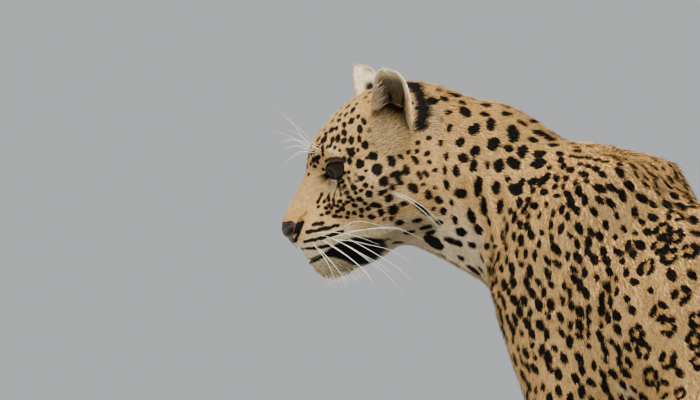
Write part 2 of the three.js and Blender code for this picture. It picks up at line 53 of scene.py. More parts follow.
# The photograph's frame and view
PHOTO_WIDE = 700
PHOTO_HIGH = 400
PIXEL = 1.1 * MM  # on the head
AZIMUTH = math.radians(40.0)
ELEVATION = math.radians(0.5)
DISTANCE = 9.5
EYE_PIXEL = (339.8, 168.0)  # centre of the near eyeball

# The skin
SKIN_CELL = 4.4 * MM
EAR_CELL = 1.6 * MM


def unit(v):
    return v / np.maximum(np.linalg.norm(v, axis=-1, keepdims=True), 1e-12)


def smooth(t):
    t = np.clip(t, 0.0, 1.0)
    return t * t * (3.0 - 2.0 * t)


def points_of(mesh):
    co = np.empty(len(mesh.vertices) * 3, np.float32)
    mesh.vertices.foreach_get("co", co)
    return co.reshape(-1, 3).astype(float)


def node_points(name):
    return points_of(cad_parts[name].data)


def triangles_of(mesh):
    mesh.calc_loop_triangles()
    tri = np.empty(len(mesh.loop_triangles) * 3, np.int32)
    mesh.loop_triangles.foreach_get("vertices", tri)
    return tri.reshape(-1, 3)


noise_at = [random.uniform(-1, 1, 3) for _ in range(12)]


def wander(points, size):
    """A soft irregular value between about -1 and 1, with features of a size in metres."""
    total = np.zeros(len(points))
    for k, way in enumerate(noise_at):
        total += np.sin(points @ (unit(way) * (2 * math.pi / size) * (0.7 + 0.1 * k)) + 5 * k)
    return total / 3.5


def edges_of(mesh):
    pairs = np.empty(len(mesh.edges) * 2, np.int32)
    mesh.edges.foreach_get("vertices", pairs)
    return pairs.reshape(-1, 2)


def mesh_from(name, points, faces):
    mesh = bpy.data.meshes.new(name)
    mesh.from_pydata(np.asarray(points).tolist(), [], np.asarray(faces).tolist())
    return mesh


def object_from(name, mesh):
    made = bpy.data.objects.new(name, mesh)
    bpy.context.scene.collection.objects.link(made)
    return made


def sphere_through(points):
    """Centre and radius of the ball whose surface the points lie on."""
    a = np.c_[2 * points, np.ones(len(points))]
    x = np.linalg.lstsq(a, (points**2).sum(1), rcond=None)[0]
    return x[:3], math.sqrt(x[3] + x[:3] @ x[:3])


# The head's own frame: forward along the muzzle, left and up, with its origin between the eyes
NOSE_BELOW = math.radians(31.8)  # direction of the nose pad below the head's forward axis
EYES_BACK = 3 * MM  # centres of the eyeballs behind the origin
eye_left, EYE_R = sphere_through(node_points("eye_left"))
eye_right, _ = sphere_through(node_points("eye_right"))
head_left = unit(eye_left - eye_right)
to_nose = node_points("nose").mean(0) - (eye_left + eye_right) / 2
to_nose = unit(to_nose - head_left * (to_nose @ head_left))
over_nose = np.cross(to_nose, head_left)
head_forward = to_nose * math.cos(NOSE_BELOW) + over_nose * math.sin(NOSE_BELOW)
head_up = over_nose * math.cos(NOSE_BELOW) - to_nose * math.sin(NOSE_BELOW)
HEAD_AXES = np.array([head_forward, head_left, head_up])
HEAD_ORIGIN = (eye_left + eye_right) / 2 + EYES_BACK * head_forward


def on_head(forward, left, up):
    """A point given in millimetres in the head's frame."""
    return HEAD_ORIGIN + MM * (forward * head_forward + left * head_left + up * head_up)


def in_head(points):
    """Points in the head's frame, in millimetres."""
    return (points - HEAD_ORIGIN) @ HEAD_AXES.T / MM


# Camera
def make_camera():
    right = np.array([math.cos(AZIMUTH), math.sin(AZIMUTH), 0.0])
    back = np.array([
        math.sin(AZIMUTH) * math.cos(ELEVATION),
        -math.cos(AZIMUTH) * math.cos(ELEVATION),
        math.sin(ELEVATION),
    ])
    up = np.cross(back, right)
    centre = eye_left + right * (PHOTO_WIDE / 2 - EYE_PIXEL[0]) * PIXEL
    centre = centre - up * (PHOTO_HIGH / 2 - EYE_PIXEL[1]) * PIXEL
    data = bpy.data.cameras.new("camera")
    data.sensor_width = 36.0
    data.lens = data.sensor_width * DISTANCE / (PHOTO_WIDE * PIXEL)
    data.clip_end = 100.0
    camera = object_from("camera", data)
    camera.location = centre + back * DISTANCE
    camera.rotation_mode = "QUATERNION"
    camera.rotation_quaternion = Vector(-back).to_track_quat("-Z", "Y")
    bpy.context.scene.camera = camera
    return right, up, back, centre


view_right, view_up, view_back, view_centre = make_camera()


def seen_at(points):
    """Pixels of the photograph at which points show, for marks that are placed one by one."""
    away = DISTANCE - (points - view_centre) @ view_back
    scale = DISTANCE / away / PIXEL
    px = PHOTO_WIDE / 2 + (points - view_centre) @ view_right * scale
    py = PHOTO_HIGH / 2 - (points - view_centre) @ view_up * scale
    return np.c_[px, py]


# Regions of the body, each with its coat
class Coat:
    """Depth over the skin, and length, width and spacing of the tufts, in millimetres."""

    def __init__(self, depth, length, width, apart):
        self.depth = depth
        self.length = length
        self.width = width
        self.apart = apart


COATS = {
    "head": Coat(2.2, 5.0, 0.75, 1.25),
    "jaw": Coat(3.0, 7.5, 0.75, 1.35),
    "nose": Coat(0.6, 2.5, 0.5, 1.1),
    "ear": Coat(1.0, 5.5, 0.6, 1.15),
    "neck": Coat(4.0, 8.5, 1.05, 1.6),
    "chest": Coat(4.2, 9.0, 1.15, 1.75),
    "hindquarters": Coat(4.8, 10.5, 1.35, 2.3),
    "upper_arm": Coat(3.8, 8.5, 1.1, 1.75),
    "forearm": Coat(3.0, 8.0, 1.1, 2.0),
    "forepaw": Coat(2.0, 6.0, 0.9, 1.75),
    "thigh": Coat(4.6, 10.0, 1.3, 2.2),
    "hindfoot": Coat(2.2, 6.5, 1.0, 1.85),
    "tail": Coat(3.6, 10.0, 1.2, 1.95),
}
FLESH = [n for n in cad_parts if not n.startswith(("eye", "ear"))]
EARS = ["ear_left", "ear_right"]
TAIL = [n for n in sorted(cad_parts) if n.startswith("tail")]


def kind_of(node):
    """The name of a node without its side or number."""
    return max((kind for kind in COATS if node.startswith(kind)), key=len)


def middle_of(node):
    low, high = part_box(node)
    return np.array(low + high) / 2


MIDLINE = (middle_of("forepaw_left")[1] + middle_of("forepaw_right")[1]) / 2
CHEST = middle_of("chest")
CHEST_TOP = np.array([CHEST[0], MIDLINE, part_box("chest")[1][2]])


def lie_of(node):
    """The way the hair lies on a node, before it is laid along the skin."""
    kind = kind_of(node)
    if kind in ("head", "nose"):
        return -head_forward
    if kind == "jaw":
        return -head_forward - 0.8 * head_up
    if kind == "ear":
        return head_up - 0.3 * head_forward
    if kind == "neck":
        return unit(CHEST_TOP - middle_of("head")) + np.array([0, 0, -0.5])
    if kind == "tail":
        k = TAIL.index(node)
        before = middle_of(TAIL[k - 1]) if k else middle_of("hindquarters")
        after = middle_of(TAIL[k + 1]) if k + 1 < len(TAIL) else 2 * middle_of(node) - before
        return unit(after - before)
    if kind in ("forepaw", "hindfoot"):
        return np.array([-1.0, 0, -0.35])
    if kind == "chest":
        return np.array([0.9, 0, -0.75])
    return np.array([0.45, 0, -1.0])


def nearest_nodes(points, names):
    """For each point, the index in names of the node whose surface is nearest."""
    corners, faces, owner, start = [], [], [], 0
    for k, name in enumerate(names):
        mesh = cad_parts[name].data
        corners.append(points_of(mesh))
        faces.append(triangles_of(mesh) + start)
        owner += [k] * len(faces[-1])
        start += len(corners[-1])
    tree = BVHTree.FromPolygons(np.concatenate(corners).tolist(), np.concatenate(faces).tolist())
    return np.array([owner[tree.find_nearest(p)[2]] for p in points.tolist()])


def closed_mesh(names, cell):
    """One closed even mesh over the named nodes."""
    points, faces, start = [], [], 0
    for name in names:
        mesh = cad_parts[name].data
        points.append(points_of(mesh))
        faces.append(triangles_of(mesh) + start)
        start += len(points[-1])
    rough = object_from("rough", mesh_from("rough", np.concatenate(points), np.concatenate(faces)))
    weld = rough.modifiers.new("weld", "WELD")
    weld.merge_threshold = 1e-5
    remesh = rough.modifiers.new("remesh", "REMESH")
    remesh.mode = "VOXEL"
    remesh.voxel_size = cell
    shaped = rough.evaluated_get(bpy.context.evaluated_depsgraph_get())
    mesh = bpy.data.meshes.new_from_object(shaped)
    bpy.data.objects.remove(rough)
    return mesh


def averages(values, pairs, count):
    """For each vertex, the mean of its neighbours' values."""
    total = np.zeros_like(values)
    for k in range(values.shape[1]):
        total[:, k] = np.bincount(pairs[:, 0], values[pairs[:, 1], k], count)
        total[:, k] += np.bincount(pairs[:, 1], values[pairs[:, 0], k], count)
    near = np.bincount(pairs.ravel(), minlength=count)
    return total / np.maximum(near, 1)[:, None]


def relax(points, pairs, turns, weight=None):
    """Smooths the shape without shrinking it."""
    for _ in range(turns):
        for step in (0.5, -0.52):
            move = step * (averages(points, pairs, len(points)) - points)
            points = points + (move if weight is None else move * weight[:, None])
    return points


def spread_over(values, pairs, turns):
    """Blurs a value from point to point over the skin."""
    for _ in range(turns):
        values = (values + averages(values, pairs, len(values))) / 2
    return values


def normals_of(points, tri):
    a, b, c = points[tri[:, 0]], points[tri[:, 1]], points[tri[:, 2]]
    face = np.cross(b - a, c - a)
    total = np.zeros_like(points)
    for corner in range(3):
        for k in range(3):
            total[:, k] += np.bincount(tri[:, corner], face[:, k], len(points))
    return unit(total)


def refine(mesh, centre, radius):
    """Halves the edges of the faces that lie within a radius of a point."""
    made = bmesh.new()
    made.from_mesh(mesh)
    middle = Vector(centre)
    chosen = [f for f in made.faces if (f.calc_center_median() - middle).length < radius]
    edges = list({e for f in chosen for e in f.edges})
    bmesh.ops.subdivide_edges(made, edges=edges, cuts=1, use_grid_fill=True)
    made.to_mesh(mesh)
    made.free()


def set_points(mesh, points):
    mesh.vertices.foreach_set("co", points.astype(np.float32).ravel())
    mesh.update()


PAWS = [n for n in FLESH if n.startswith(("forepaw", "hindfoot"))]


def paw_front(name):
    """The foremost place of a paw, at the height of its claws."""
    low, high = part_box(name)
    return np.array([low[0], (low[1] + high[1]) / 2, 0.012])


def toe_step(name):
    """Distance from the middle of one toe to the next."""
    return (17.0 if name.startswith("fore") else 16.0) * 1.14 * MM


# The flesh as one even mesh, finer on the head and the paws and finest at the eyes and the nose
HEAD_MIDDLE = on_head(-20, 0, -30)
NOSE_TIP = on_head(70, 0, -48)


def flesh_mesh():
    mesh = closed_mesh(FLESH + ["eye_left", "eye_right"], SKIN_CELL)
    set_points(mesh, relax(points_of(mesh), edges_of(mesh), 14))
    zones = [(HEAD_MIDDLE, 0.118), (NOSE_TIP, 0.032), (eye_left, 0.024), (eye_right, 0.024)]
    zones += [(paw_front(n) + np.array([0.03, 0, 0.01]), 0.058) for n in PAWS]
    for centre, radius in zones:
        refine(mesh, centre, radius)
        points = points_of(mesh)
        inside = smooth((radius + 0.004 - np.linalg.norm(points - centre, axis=1)) / 0.008)
        set_points(mesh, relax(points, edges_of(mesh), 3, inside))
    for eye in (eye_left, eye_right):
        refine(mesh, eye, 0.019)
    return mesh


# Sculpting
def eye_axes(side):
    """Centre, gaze, outward and upward axes of one eye. side is 1 for the animal's left."""
    centre = eye_left if side > 0 else eye_right
    target = on_head(40, side * 62, -3)
    gaze = unit(target - centre)
    out = unit(np.cross(head_up, gaze)) * side
    above = unit(head_up - gaze * (head_up @ gaze))
    return centre, gaze, out, above


# The opening between the lids as angles from the gaze, in millimetres along the eyeball: outward and up
LID_OUTLINE = [
    (-13.2, -4.6), (-8.6, 3.2), (-4.6, 7.8), (1.0, 9.2), (8.0, 9.0), (14.0, 7.0), (15.6, 2.5), (13.0, -3.2),
    (9.0, -7.8), (3.3, -8.6), (-3.1, -6.8), (-9.0, -5.4),
]


def outside_slit(u, v):
    """Distance in millimetres outside the opening between the lids, less than 0 inside it."""
    line = bend(LID_OUTLINE + LID_OUTLINE[:1], 48)
    away, _ = near_line(np.c_[u, v], line)
    inside = np.zeros(len(u), bool)
    for (u0, v0), (u1, v1) in zip(line, line[1:]):
        crosses = (v0 > v) != (v1 > v)
        inside ^= crosses & (u < u0 + (v - v0) * (u1 - u0) / (v1 - v0 if v1 != v0 else 1e-9))
    return np.where(inside, -away, away)


def near_line(points, line):
    """Distance of each point from a line of points, and how far along it the nearest place is, 0 to 1."""
    line = np.asarray(line, float)
    steps = np.linalg.norm(np.diff(line, axis=0), axis=1)
    walked = np.r_[0, np.cumsum(steps)] / steps.sum()
    best = np.full(len(points), 1e9)
    along = np.zeros(len(points))
    for k in range(len(line) - 1):
        a, d = line[k], line[k + 1] - line[k]
        t = np.clip((points - a) @ d / max(d @ d, 1e-12), 0, 1)
        away = np.linalg.norm(points - a - t[:, None] * d, axis=1)
        closer = away < best
        best[closer] = away[closer]
        along[closer] = walked[k] + (walked[k + 1] - walked[k]) * t[closer]
    return best, along


def bend(line, count=24):
    """A smooth line through a few points."""
    line = np.asarray(line, float)
    root_shade = np.vstack([2 * line[0] - line[1], line, 2 * line[-1] - line[-2]])
    made = []
    for k in range(1, len(root_shade) - 2):
        a, b, c, d = root_shade[k - 1 : k + 3]
        for t in np.linspace(0, 1, count // (len(line) - 1) + 1)[: None if k == len(root_shade) - 3 else -1]:
            made.append(0.5 * (2 * b + (c - a) * t + (2 * a - 5 * b + 4 * c - d) * t * t
                               + (3 * b - 3 * c + d - a) * t**3))
    return np.array(made)


class Surface:
    """The points and triangles of the skin, with what is known at each point."""

    def __init__(self, meshes):
        points, faces, pairs, ear, start = [], [], [], [], 0
        for k, mesh in enumerate(meshes):
            points.append(points_of(mesh))
            faces.append(triangles_of(mesh) + start)
            pairs.append(edges_of(mesh) + start)
            ear.append(np.full(len(points[-1]), k > 0))
            start += len(points[-1])
        self.points = np.concatenate(points)
        self.tri = np.concatenate(faces)
        self.pairs = np.concatenate(pairs)
        self.ear = np.concatenate(ear)
        self.normals = normals_of(self.points, self.tri)

    def push(self, amount):
        """Moves the points along their normals, by millimetres."""
        self.points = self.points + self.normals * (amount * MM)[:, None]
        self.normals = normals_of(self.points, self.tri)

    def groove(self, line, width, depth):
        """Presses a groove along a line, its half width and depth in millimetres, with soft shoulders."""
        away, _ = near_line(self.points, line)
        r = away / (width * MM)
        amount = -depth * np.exp(-r * r) + 0.3 * depth * np.exp(-((r - 2) ** 2))
        self.points = self.points + self.normals * (amount * MM)[:, None]

    def lump(self, centre, size, height):
        away = np.linalg.norm(self.points - centre, axis=1) / (size * MM)
        self.points = self.points + self.normals * (height * MM * np.exp(-away * away))[:, None]

    def settle(self):
        self.normals = normals_of(self.points, self.tri)


ears = []
for name in EARS:
    mesh = closed_mesh([name], EAR_CELL)
    set_points(mesh, relax(points_of(mesh), edges_of(mesh), 8))
    ears.append(mesh)
surface = Surface([flesh_mesh(), *ears])

# What each point of the skin belongs to
flesh_part = nearest_nodes(surface.points[~surface.ear], FLESH)
part = np.empty(len(surface.points), int)
part[~surface.ear] = flesh_part
ear_at = middle_of("ear_left") - middle_of("ear_right")
nearer_left = (surface.points - (middle_of("ear_left") + middle_of("ear_right")) / 2) @ ear_at > 0
part[surface.ear] = np.where(nearer_left[surface.ear], len(FLESH), len(FLESH) + 1)
PARTS = FLESH + EARS
kinds = np.array([kind_of(n) for n in PARTS])[part]

lies = np.array([unit(lie_of(n)) for n in PARTS])
coat_values = np.array([[getattr(COATS[kind_of(n)], k) for k in ("depth", "length", "width", "apart")]
                        for n in PARTS])
fields = spread_over(np.c_[lies[part], coat_values[part]], surface.pairs, 40)
lie = fields[:, :3]
depth, length, width, apart = fields[:, 3:].T.copy()
at = in_head(surface.points)  # forward, left and up in the head's frame, in millimetres
side_at = np.abs(at[:, 1])
of_head = np.isin(kinds, ("head", "jaw", "nose"))


def ball(centre, radius, soft):
    """1 inside a ball round a point of the head's frame, on both sides, falling to 0 over a soft rim."""
    away = np.linalg.norm(np.c_[at[:, 0], side_at, at[:, 2]] - centre, axis=1)
    return smooth((radius + soft - away) / soft)


def near_ball(centre, radius, soft):
    return ball(centre, radius, soft) * of_head


# The coat is shortest on the muzzle and round the eyes, and longer on cheeks and chin
muzzle = near_ball((52, 0, -55), 34, 22)
eye_zone = near_ball((6, 34, -2), 19, 12)
bridge = near_ball((25, 0, -14), 24, 16)
cheek_front = near_ball((22, 34, -34), 17, 12)
short = np.maximum.reduce([muzzle, eye_zone, bridge, cheek_front])
chin = near_ball((36, 0, -108), 20, 16)
cheek = near_ball((-48, 62, -58), 30, 26)
depth = depth * (1 - 0.55 * short) + 1.2 * cheek
length = length * (1 - 0.4 * short - 0.15 * cheek_front) + 6.0 * chin + 3.0 * cheek
width = width * (1 - 0.25 * short)
apart = apart * (1 - 0.12 * short)

# Nose pad: wide over the nostrils, and narrow down to the groove in the lip
PAD_OUTLINE = [(0, -33), (12, -34), (19, -40), (19, -48), (11, -55), (5, -61), (2.5, -68)]


def outside_pad(y, z):
    """Distance in millimetres outside the nose pad's outline as seen from the front."""
    edge = bend(PAD_OUTLINE, 36)
    half = np.interp(-z, -edge[:, 1], edge[:, 0])
    top = PAD_OUTLINE[0][1] - 1.5
    return np.maximum.reduce([np.abs(y) - half, z - top, PAD_OUTLINE[-1][1] - z])


pad_out = np.where((at[:, 0] > 52) & of_head, outside_pad(at[:, 1], at[:, 2]), 50.0)
depth = depth * smooth(pad_out / 4.0)
surface.push(-depth)

skin_tree = BVHTree.FromPolygons(surface.points.tolist(), surface.tri.tolist())


def sight(px, py):
    """Where the camera is, and the way from it to what shows at a pixel of the photograph."""
    eye_point = view_centre + view_back * DISTANCE
    across = view_right * ((px - PHOTO_WIDE / 2) * PIXEL)
    target = view_centre + across - view_up * ((py - PHOTO_HIGH / 2) * PIXEL)
    return eye_point, unit(target - eye_point)


def on_skin(px, py):
    """The place on the skin that shows at a pixel of the photograph, and the way out of it, or None."""
    eye_point, way = sight(px, py)
    hit = skin_tree.ray_cast(Vector(eye_point), Vector(way))
    return None if hit[0] is None else (np.array(hit[0]), np.array(hit[1]))


def other_side(point):
    """The place on the other side of the head."""
    inside = in_head(point[None])[0] * np.array([1.0, -1.0, 1.0])
    return np.array(skin_tree.find_nearest(on_head(*inside))[0])


def pixel_line(pixels):
    """A smooth line on the skin through pixels of the photograph."""
    hits = [on_skin(x, y) for x, y in pixels]
    return bend([h[0] for h in hits if h is not None], 16)


# Nostrils: a round pit that runs out into a slit round the wing of the nose
NOSTRIL = [(302.5, 222.5), (300.5, 228), (298, 235), (295.5, 241)]
for side in (1, -1):
    pit = [on_head(78, side * 6.5, -47.5), on_head(74, side * 11.5, -45.0), on_head(70, side * 15.0, -44.5)]
    surface.groove(bend(pit, 12), 2.6, 6.5)
wing = pixel_line(NOSTRIL)
surface.groove(wing, 2.4, 4.0)
surface.groove(np.array([other_side(p) for p in wing]), 2.4, 4.0)
surface.groove(bend([on_head(76, 0, -56), on_head(74, 0, -70), on_head(66, 0, -85)], 16), 1.3, 2.6)

surface.lump(on_head(58, 0, -96), 17, -5.0)

# Folds of the skin that show in the photograph, as lines of pixels with half width and depth
FOLDS = [
    ([(477, 190), (483, 215), (490, 250), (496, 284)], 6.0, 3.2),
    ([(499, 188), (503, 212), (501, 240)], 6.0, 2.4),
    ([(462, 186), (468, 214), (478, 244)], 6.0, 2.0),
    ([(580, 268), (570, 284), (559, 303)], 7.0, 4.0),
    ([(609, 273), (605, 296), (600, 320)], 7.0, 4.0),
    ([(572, 196), (600, 212), (622, 236)], 8.0, 2.6),
    ([(662, 190), (682, 206), (697, 226)], 8.0, 4.5),
    ([(640, 250), (652, 300), (655, 350)], 9.0, 2.6),
]
for pixels, wide, deep in FOLDS:
    surface.groove(pixel_line(pixels), wide, deep)

# Grooves between the toes
for name in PAWS:
    front = paw_front(name)
    for k in (-1, 0, 1):
        y = front[1] + k * toe_step(name)
        line = [(front[0] + 0.044, y * 0.7 + front[1] * 0.3, 0.050), (front[0] + 0.018, y, 0.036),
                (front[0] + 0.004, y, 0.018), (front[0] + 0.006, y, 0.004)]
        line = [np.array(skin_tree.find_nearest(Vector(p))[0]) for p in line]
        surface.groove(bend(line, 12), 3.2, 4.0)
surface.settle()

# Line of the mouth, from under the nose back to the corner
MOUTH = [
    (64, 0, -86), (58, 14, -85), (46, 25, -82), (32, 33, -78), (14, 39, -76), (-4, 44, -80), (-20, 47, -90),
]
mouth_away = np.full(len(surface.points), 1e9)
for side in (1, -1):
    line = bend([on_head(x, side * y, z) for x, y, z in MOUTH], 40)
    tree = BVHTree.FromPolygons(surface.points.tolist(), surface.tri.tolist())
    line = np.array([np.array(tree.find_nearest(p)[0]) for p in line.tolist()])
    surface.groove(line, 2.0, 3.2)
    away, _ = near_line(surface.points, line)
    mouth_away = np.minimum(mouth_away, away / MM)
surface.settle()

# Lids: a thick rim round the slit, which dips behind the eyeball inside it
LID_THICK = 1.7
rim = np.full(len(surface.points), 99.0)
upper_lid = np.zeros(len(surface.points))
for side in (1, -1):
    centre, gaze, out, above = eye_axes(side)
    offset = surface.points - centre
    far = np.linalg.norm(offset, axis=1)
    way = offset / far[:, None]
    facing = (way @ gaze > -0.2) & (far < 0.034) & ~surface.ear
    angle = np.arccos(np.clip(way @ gaze, -1, 1))
    spread = EYE_R / MM * angle / np.maximum(np.sin(angle), 1e-6)
    outside = np.full(len(far), 99.0)
    outside[facing] = outside_slit((spread * (way @ out))[facing], (spread * (way @ above))[facing])
    lid = EYE_R + MM * (LID_THICK + 0.8 * np.exp(-((outside - 2.2) ** 2)))
    keep = smooth((outside - 2.5) / 9.0)
    there = far * keep + lid * (1 - keep)
    dipped = EYE_R + MM * (-3.0 + (LID_THICK + 3.0) * smooth((outside + 1.0) / 1.6))
    there = np.where(outside < 0.6, dipped, there)
    moved = centre + way * there[:, None]
    surface.points = np.where(facing[:, None] & (outside < 14)[:, None], moved, surface.points)
    rim = np.minimum(rim, outside)
    over = (spread * (way @ above) > 5.0) | (spread * (way @ out) < -8.0)
    upper_lid = np.where(facing & over, 1.0, upper_lid)
surface.settle()

# Markings. Each spot is a few ovals on the skin, and a mark is how far a place lies inside the nearest one
skin_tree = BVHTree.FromPolygons(surface.points.tolist(), surface.tri.tolist())


def mirrored_pixels(points):
    """Pixels at which points of the head would show on the near side, whichever side they are on."""
    inside = in_head(points)
    inside[:, 1] = np.abs(inside[:, 1])
    return seen_at(HEAD_ORIGIN + MM * inside @ HEAD_AXES)


class Spots:
    """Ovals laid on the skin: centre, two half axes along it and the way out of it."""

    def __init__(self):
        self.rows = []
        self.centres = []
        self.reach = []

    def oval(self, centre, out, along, long, wide, kind=0):
        along = unit(along - out * (along @ out))
        self.rows.append((*centre, *out, *along, *np.cross(out, along), long, wide, kind))

    def spot(self, centre, out, along, long, wide):
        """One irregular spot of one to three ovals."""
        self.centres.append(centre)
        self.reach.append(max(long, wide))
        self.oval(centre, out, along, long, wide)
        across = np.cross(out, unit(along))
        for _ in range(random.integers(0, 3)):
            turn = random.uniform(0, 2 * math.pi)
            shift = along * math.cos(turn) * long + across * math.sin(turn) * wide
            share = random.uniform(0.5, 0.75)
            self.oval(centre + shift * MM * 0.55, out, along, long * share, wide * share)

    def rosette(self, centre, out, along, size):
        """A broken ring of spots round a darker tan centre."""
        self.centres.append(centre)
        self.reach.append(size)
        across = np.cross(out, unit(along))
        count = random.integers(3, 6)
        start = random.uniform(0, 2 * math.pi)
        self.oval(centre, out, along, size * 0.9, size * 0.8, kind=1)
        for k in range(count):
            turn = start + 2 * math.pi * (k + random.uniform(-0.18, 0.18)) / count
            ring = size * random.uniform(0.68, 0.82)
            middle = centre + MM * ring * (along * math.cos(turn) + across * math.sin(turn))
            tangent = across * math.cos(turn) - along * math.sin(turn)
            arc = 2 * math.pi * ring / count * random.uniform(0.38, 0.5)
            self.oval(middle, out, tangent, arc, size * random.uniform(0.27, 0.36))


spots = Spots()
index_tree = KDTree(len(surface.points))
for k, p in enumerate(surface.points.tolist()):
    index_tree.insert(p, k)
index_tree.balance()


def foreshortening(way):
    """How long a unit length along a direction looks in the photograph, with a floor."""
    return max(0.55, float(np.linalg.norm(way - view_back * (way @ view_back))))


def spot_at_pixel(px, py, long, wide, lean=0.0, both=False):
    """A spot whose place and size in pixels were read off the photograph; lean turns it, in degrees."""
    hit = on_skin(px, py)
    if hit is None:
        return
    centre, out = hit
    along = view_up * math.cos(math.radians(lean)) + view_right * math.sin(math.radians(lean))
    along = unit(along - out * (along @ out))
    scale = PIXEL / MM / 2
    long = long / foreshortening(along)
    wide = wide / foreshortening(np.cross(out, along))
    spots.spot(centre, out, along, long * scale, wide * scale)
    if both:
        mirror = np.array([1.0, -1.0, 1.0])
        there = on_head(*(in_head(centre[None])[0] * mirror + random.normal(0, 1.0, 3)))
        near, k, _ = index_tree.find(there)
        flip = HEAD_AXES.T @ (mirror * (HEAD_AXES @ along))
        spots.spot(np.array(near), surface.normals[k], flip, long * scale, wide * scale)


# The face, read row by row from brow to jaw: x, y, height, width and lean
FACE = [
    (353, 110.5, 6, 4), (346, 114.5, 4.5, 2.5), (358.5, 116.5, 4, 3), (364, 121, 7, 4, -30),
    (339, 120.5, 4.5, 3.5, 30), (351.5, 121, 6, 5), (344.5, 125, 5, 4, -30), (360, 129, 8, 5, -20),
    (336.5, 128.5, 4, 3, 20), (371.5, 130.5, 5, 5, -40), (331.5, 130, 6, 3.5, 30), (344, 132.5, 6, 5, -20),
    (326, 133.5, 4, 3, 30), (338.5, 138, 7.5, 4, -10), (359.5, 139, 6, 4, -20), (324, 140, 8, 5, 10),
    (332.5, 140, 7, 3.5, -10), (344, 140.5, 6, 5), (351.5, 140, 7, 5), (365.5, 145, 8, 7),
    (374.5, 143, 8, 5, -20), (383, 145, 8, 6, -50), (391, 147, 8, 3, -65), (397.5, 148, 7, 3, -60),
    (318.5, 146, 4, 3, 20), (314, 152, 4, 3, 20), (319, 157, 4, 3, 20), (313.5, 160, 5, 3),
    (315, 167, 5, 3, 10), (323, 150, 4, 2.5, 20), (328, 147, 4, 3), (311.5, 154, 3.5, 2),
    (351.5, 152.5, 8, 7, 30), (373.5, 156, 9, 9, 60), (350, 161.5, 6, 4.5), (360, 164.7, 9, 8),
    (391.5, 161, 11, 8, -10), (401, 157, 6, 4, -50), (415.5, 160.5, 10, 5, -35), (377, 169.5, 11, 10),
    (406.3, 170.2, 9, 6.5, -10), (419.5, 175.3, 8, 4.5, -30), (426.5, 174.2, 7, 4, -40),
    (396, 174.5, 11, 6, 75), (399, 181, 8, 6, -40), (384, 181.5, 10, 9, 50), (361.7, 178.2, 5, 6),
    (366, 185, 5, 6), (353.5, 187.5, 5, 5), (392.5, 187, 6, 6), (413.2, 188, 12, 8, -50),
    (428.7, 195, 9, 7, -20), (339, 183.5, 6, 4, 30), (347.7, 192.5, 4, 5), (349.5, 197.2, 3, 5),
    (339.5, 195, 3, 5), (359.5, 199.2, 5, 6), (369.3, 194.3, 6, 7, 30), (381.5, 192.6, 5, 6),
    (389, 197.7, 7, 7, -30), (374.7, 204.6, 5, 8), (403.4, 203.5, 5, 8), (393.5, 209.2, 9, 10, 30),
    (381.6, 212.4, 6, 7, 20), (371.8, 216.7, 5, 6), (368.4, 208.4, 4, 5), (361.5, 210.1, 4, 5, 50),
    (354.6, 205.2, 4, 5), (347.2, 202.1, 3, 5), (339.7, 201.4, 3, 5), (342.5, 209, 4, 5),
    (337.4, 211.4, 3, 5), (334, 205.2, 3, 3), (348.3, 212.7, 4, 4), (354.4, 213, 4, 4), (326, 208, 3, 4),
    (324.2, 201.2, 4, 3), (328.2, 196.5, 4, 2.5), (333, 190.5, 3, 4, 20), (318, 202, 4, 3),
    (328.2, 212.7, 3, 5), (335, 216.2, 3, 5), (391.5, 218.2, 4, 5), (384.5, 218.7, 3, 3),
    (399.4, 222.4, 5, 8), (417.8, 220, 4, 9, -10), (422, 209.2, 18, 5, -45), (433.8, 208.6, 4, 4),
    (426.4, 227, 4, 11, -10), (409.7, 231.6, 3.5, 10, -10), (398.2, 242.5, 4.5, 10), (435, 243, 16, 14),
    (431, 232.5, 4, 9, -15), (322, 190.5, 3.5, 2.5), (345, 186.5, 4, 3), (356, 193, 3, 4),
]
# Flecks below the eye, on the side of the muzzle and on the brow
FLECKS = [
    (342.5, 181.5, 4, 3.2, 20), (329, 186.5, 3, 2.5, -20), (333, 188, 3, 3, -30), (338, 186, 4.5, 2.8, -20),
    (325, 192, 3.2, 2.8, -20), (328.2, 193, 3.4, 2.8, -20), (331.7, 191, 3.4, 2.6, -30),
    (333.6, 193, 3, 2.8, -30), (336, 194.8, 3, 3.2, -30), (321.5, 195, 3.2, 2.4, -20),
    (328.9, 200, 4, 2.6, -20), (333.6, 200.6, 3.6, 2.6), (361, 190.7, 3, 3.6), (349, 178, 2.4, 3.4),
    (349, 172.5, 3, 3, 20), (355.6, 174.5, 3, 3.2), (344.2, 158.6, 5, 3, 20), (323, 154.5, 3.2, 2.4),
    (316.5, 158.6, 4.5, 3), (317.8, 162.4, 3.4, 2.4), (340, 150.4, 3, 2.6), (347, 149.3, 3, 2.6),
    (335, 147.6, 3.4, 3), (331, 146, 3.4, 2.6), (365, 203.3, 3.4, 4.4), (318.3, 206.7, 2.6, 2.6),
    (331.7, 208, 3, 3.2), (321.7, 215, 2.4, 3.4), (340.6, 216.9, 2.6, 4), (347.4, 217.4, 2.4, 4),
    (320, 198.2, 2.6, 2.2), (313.5, 169, 3.4, 2.2, 10), (310.5, 164, 3, 1.8, 10),
    (322.8, 147, 3.4, 2.4, 20), (344, 204.5, 2.6, 3.4), (361.5, 216, 3, 4), (366, 171, 3, 3.4),
    (356, 181.5, 3, 3.4), (344.5, 173, 2.8, 2.6), (367, 158, 3.4, 3), (358, 150.5, 3.4, 3),
    (372.5, 187, 3, 3), (353, 199.8, 2.8, 4), (329, 205.4, 2.8, 3), (337.6, 206.2, 2.6, 3.2),
    (380, 205.5, 3.6, 4.2), (386, 190.5, 3.4, 3.4),
]
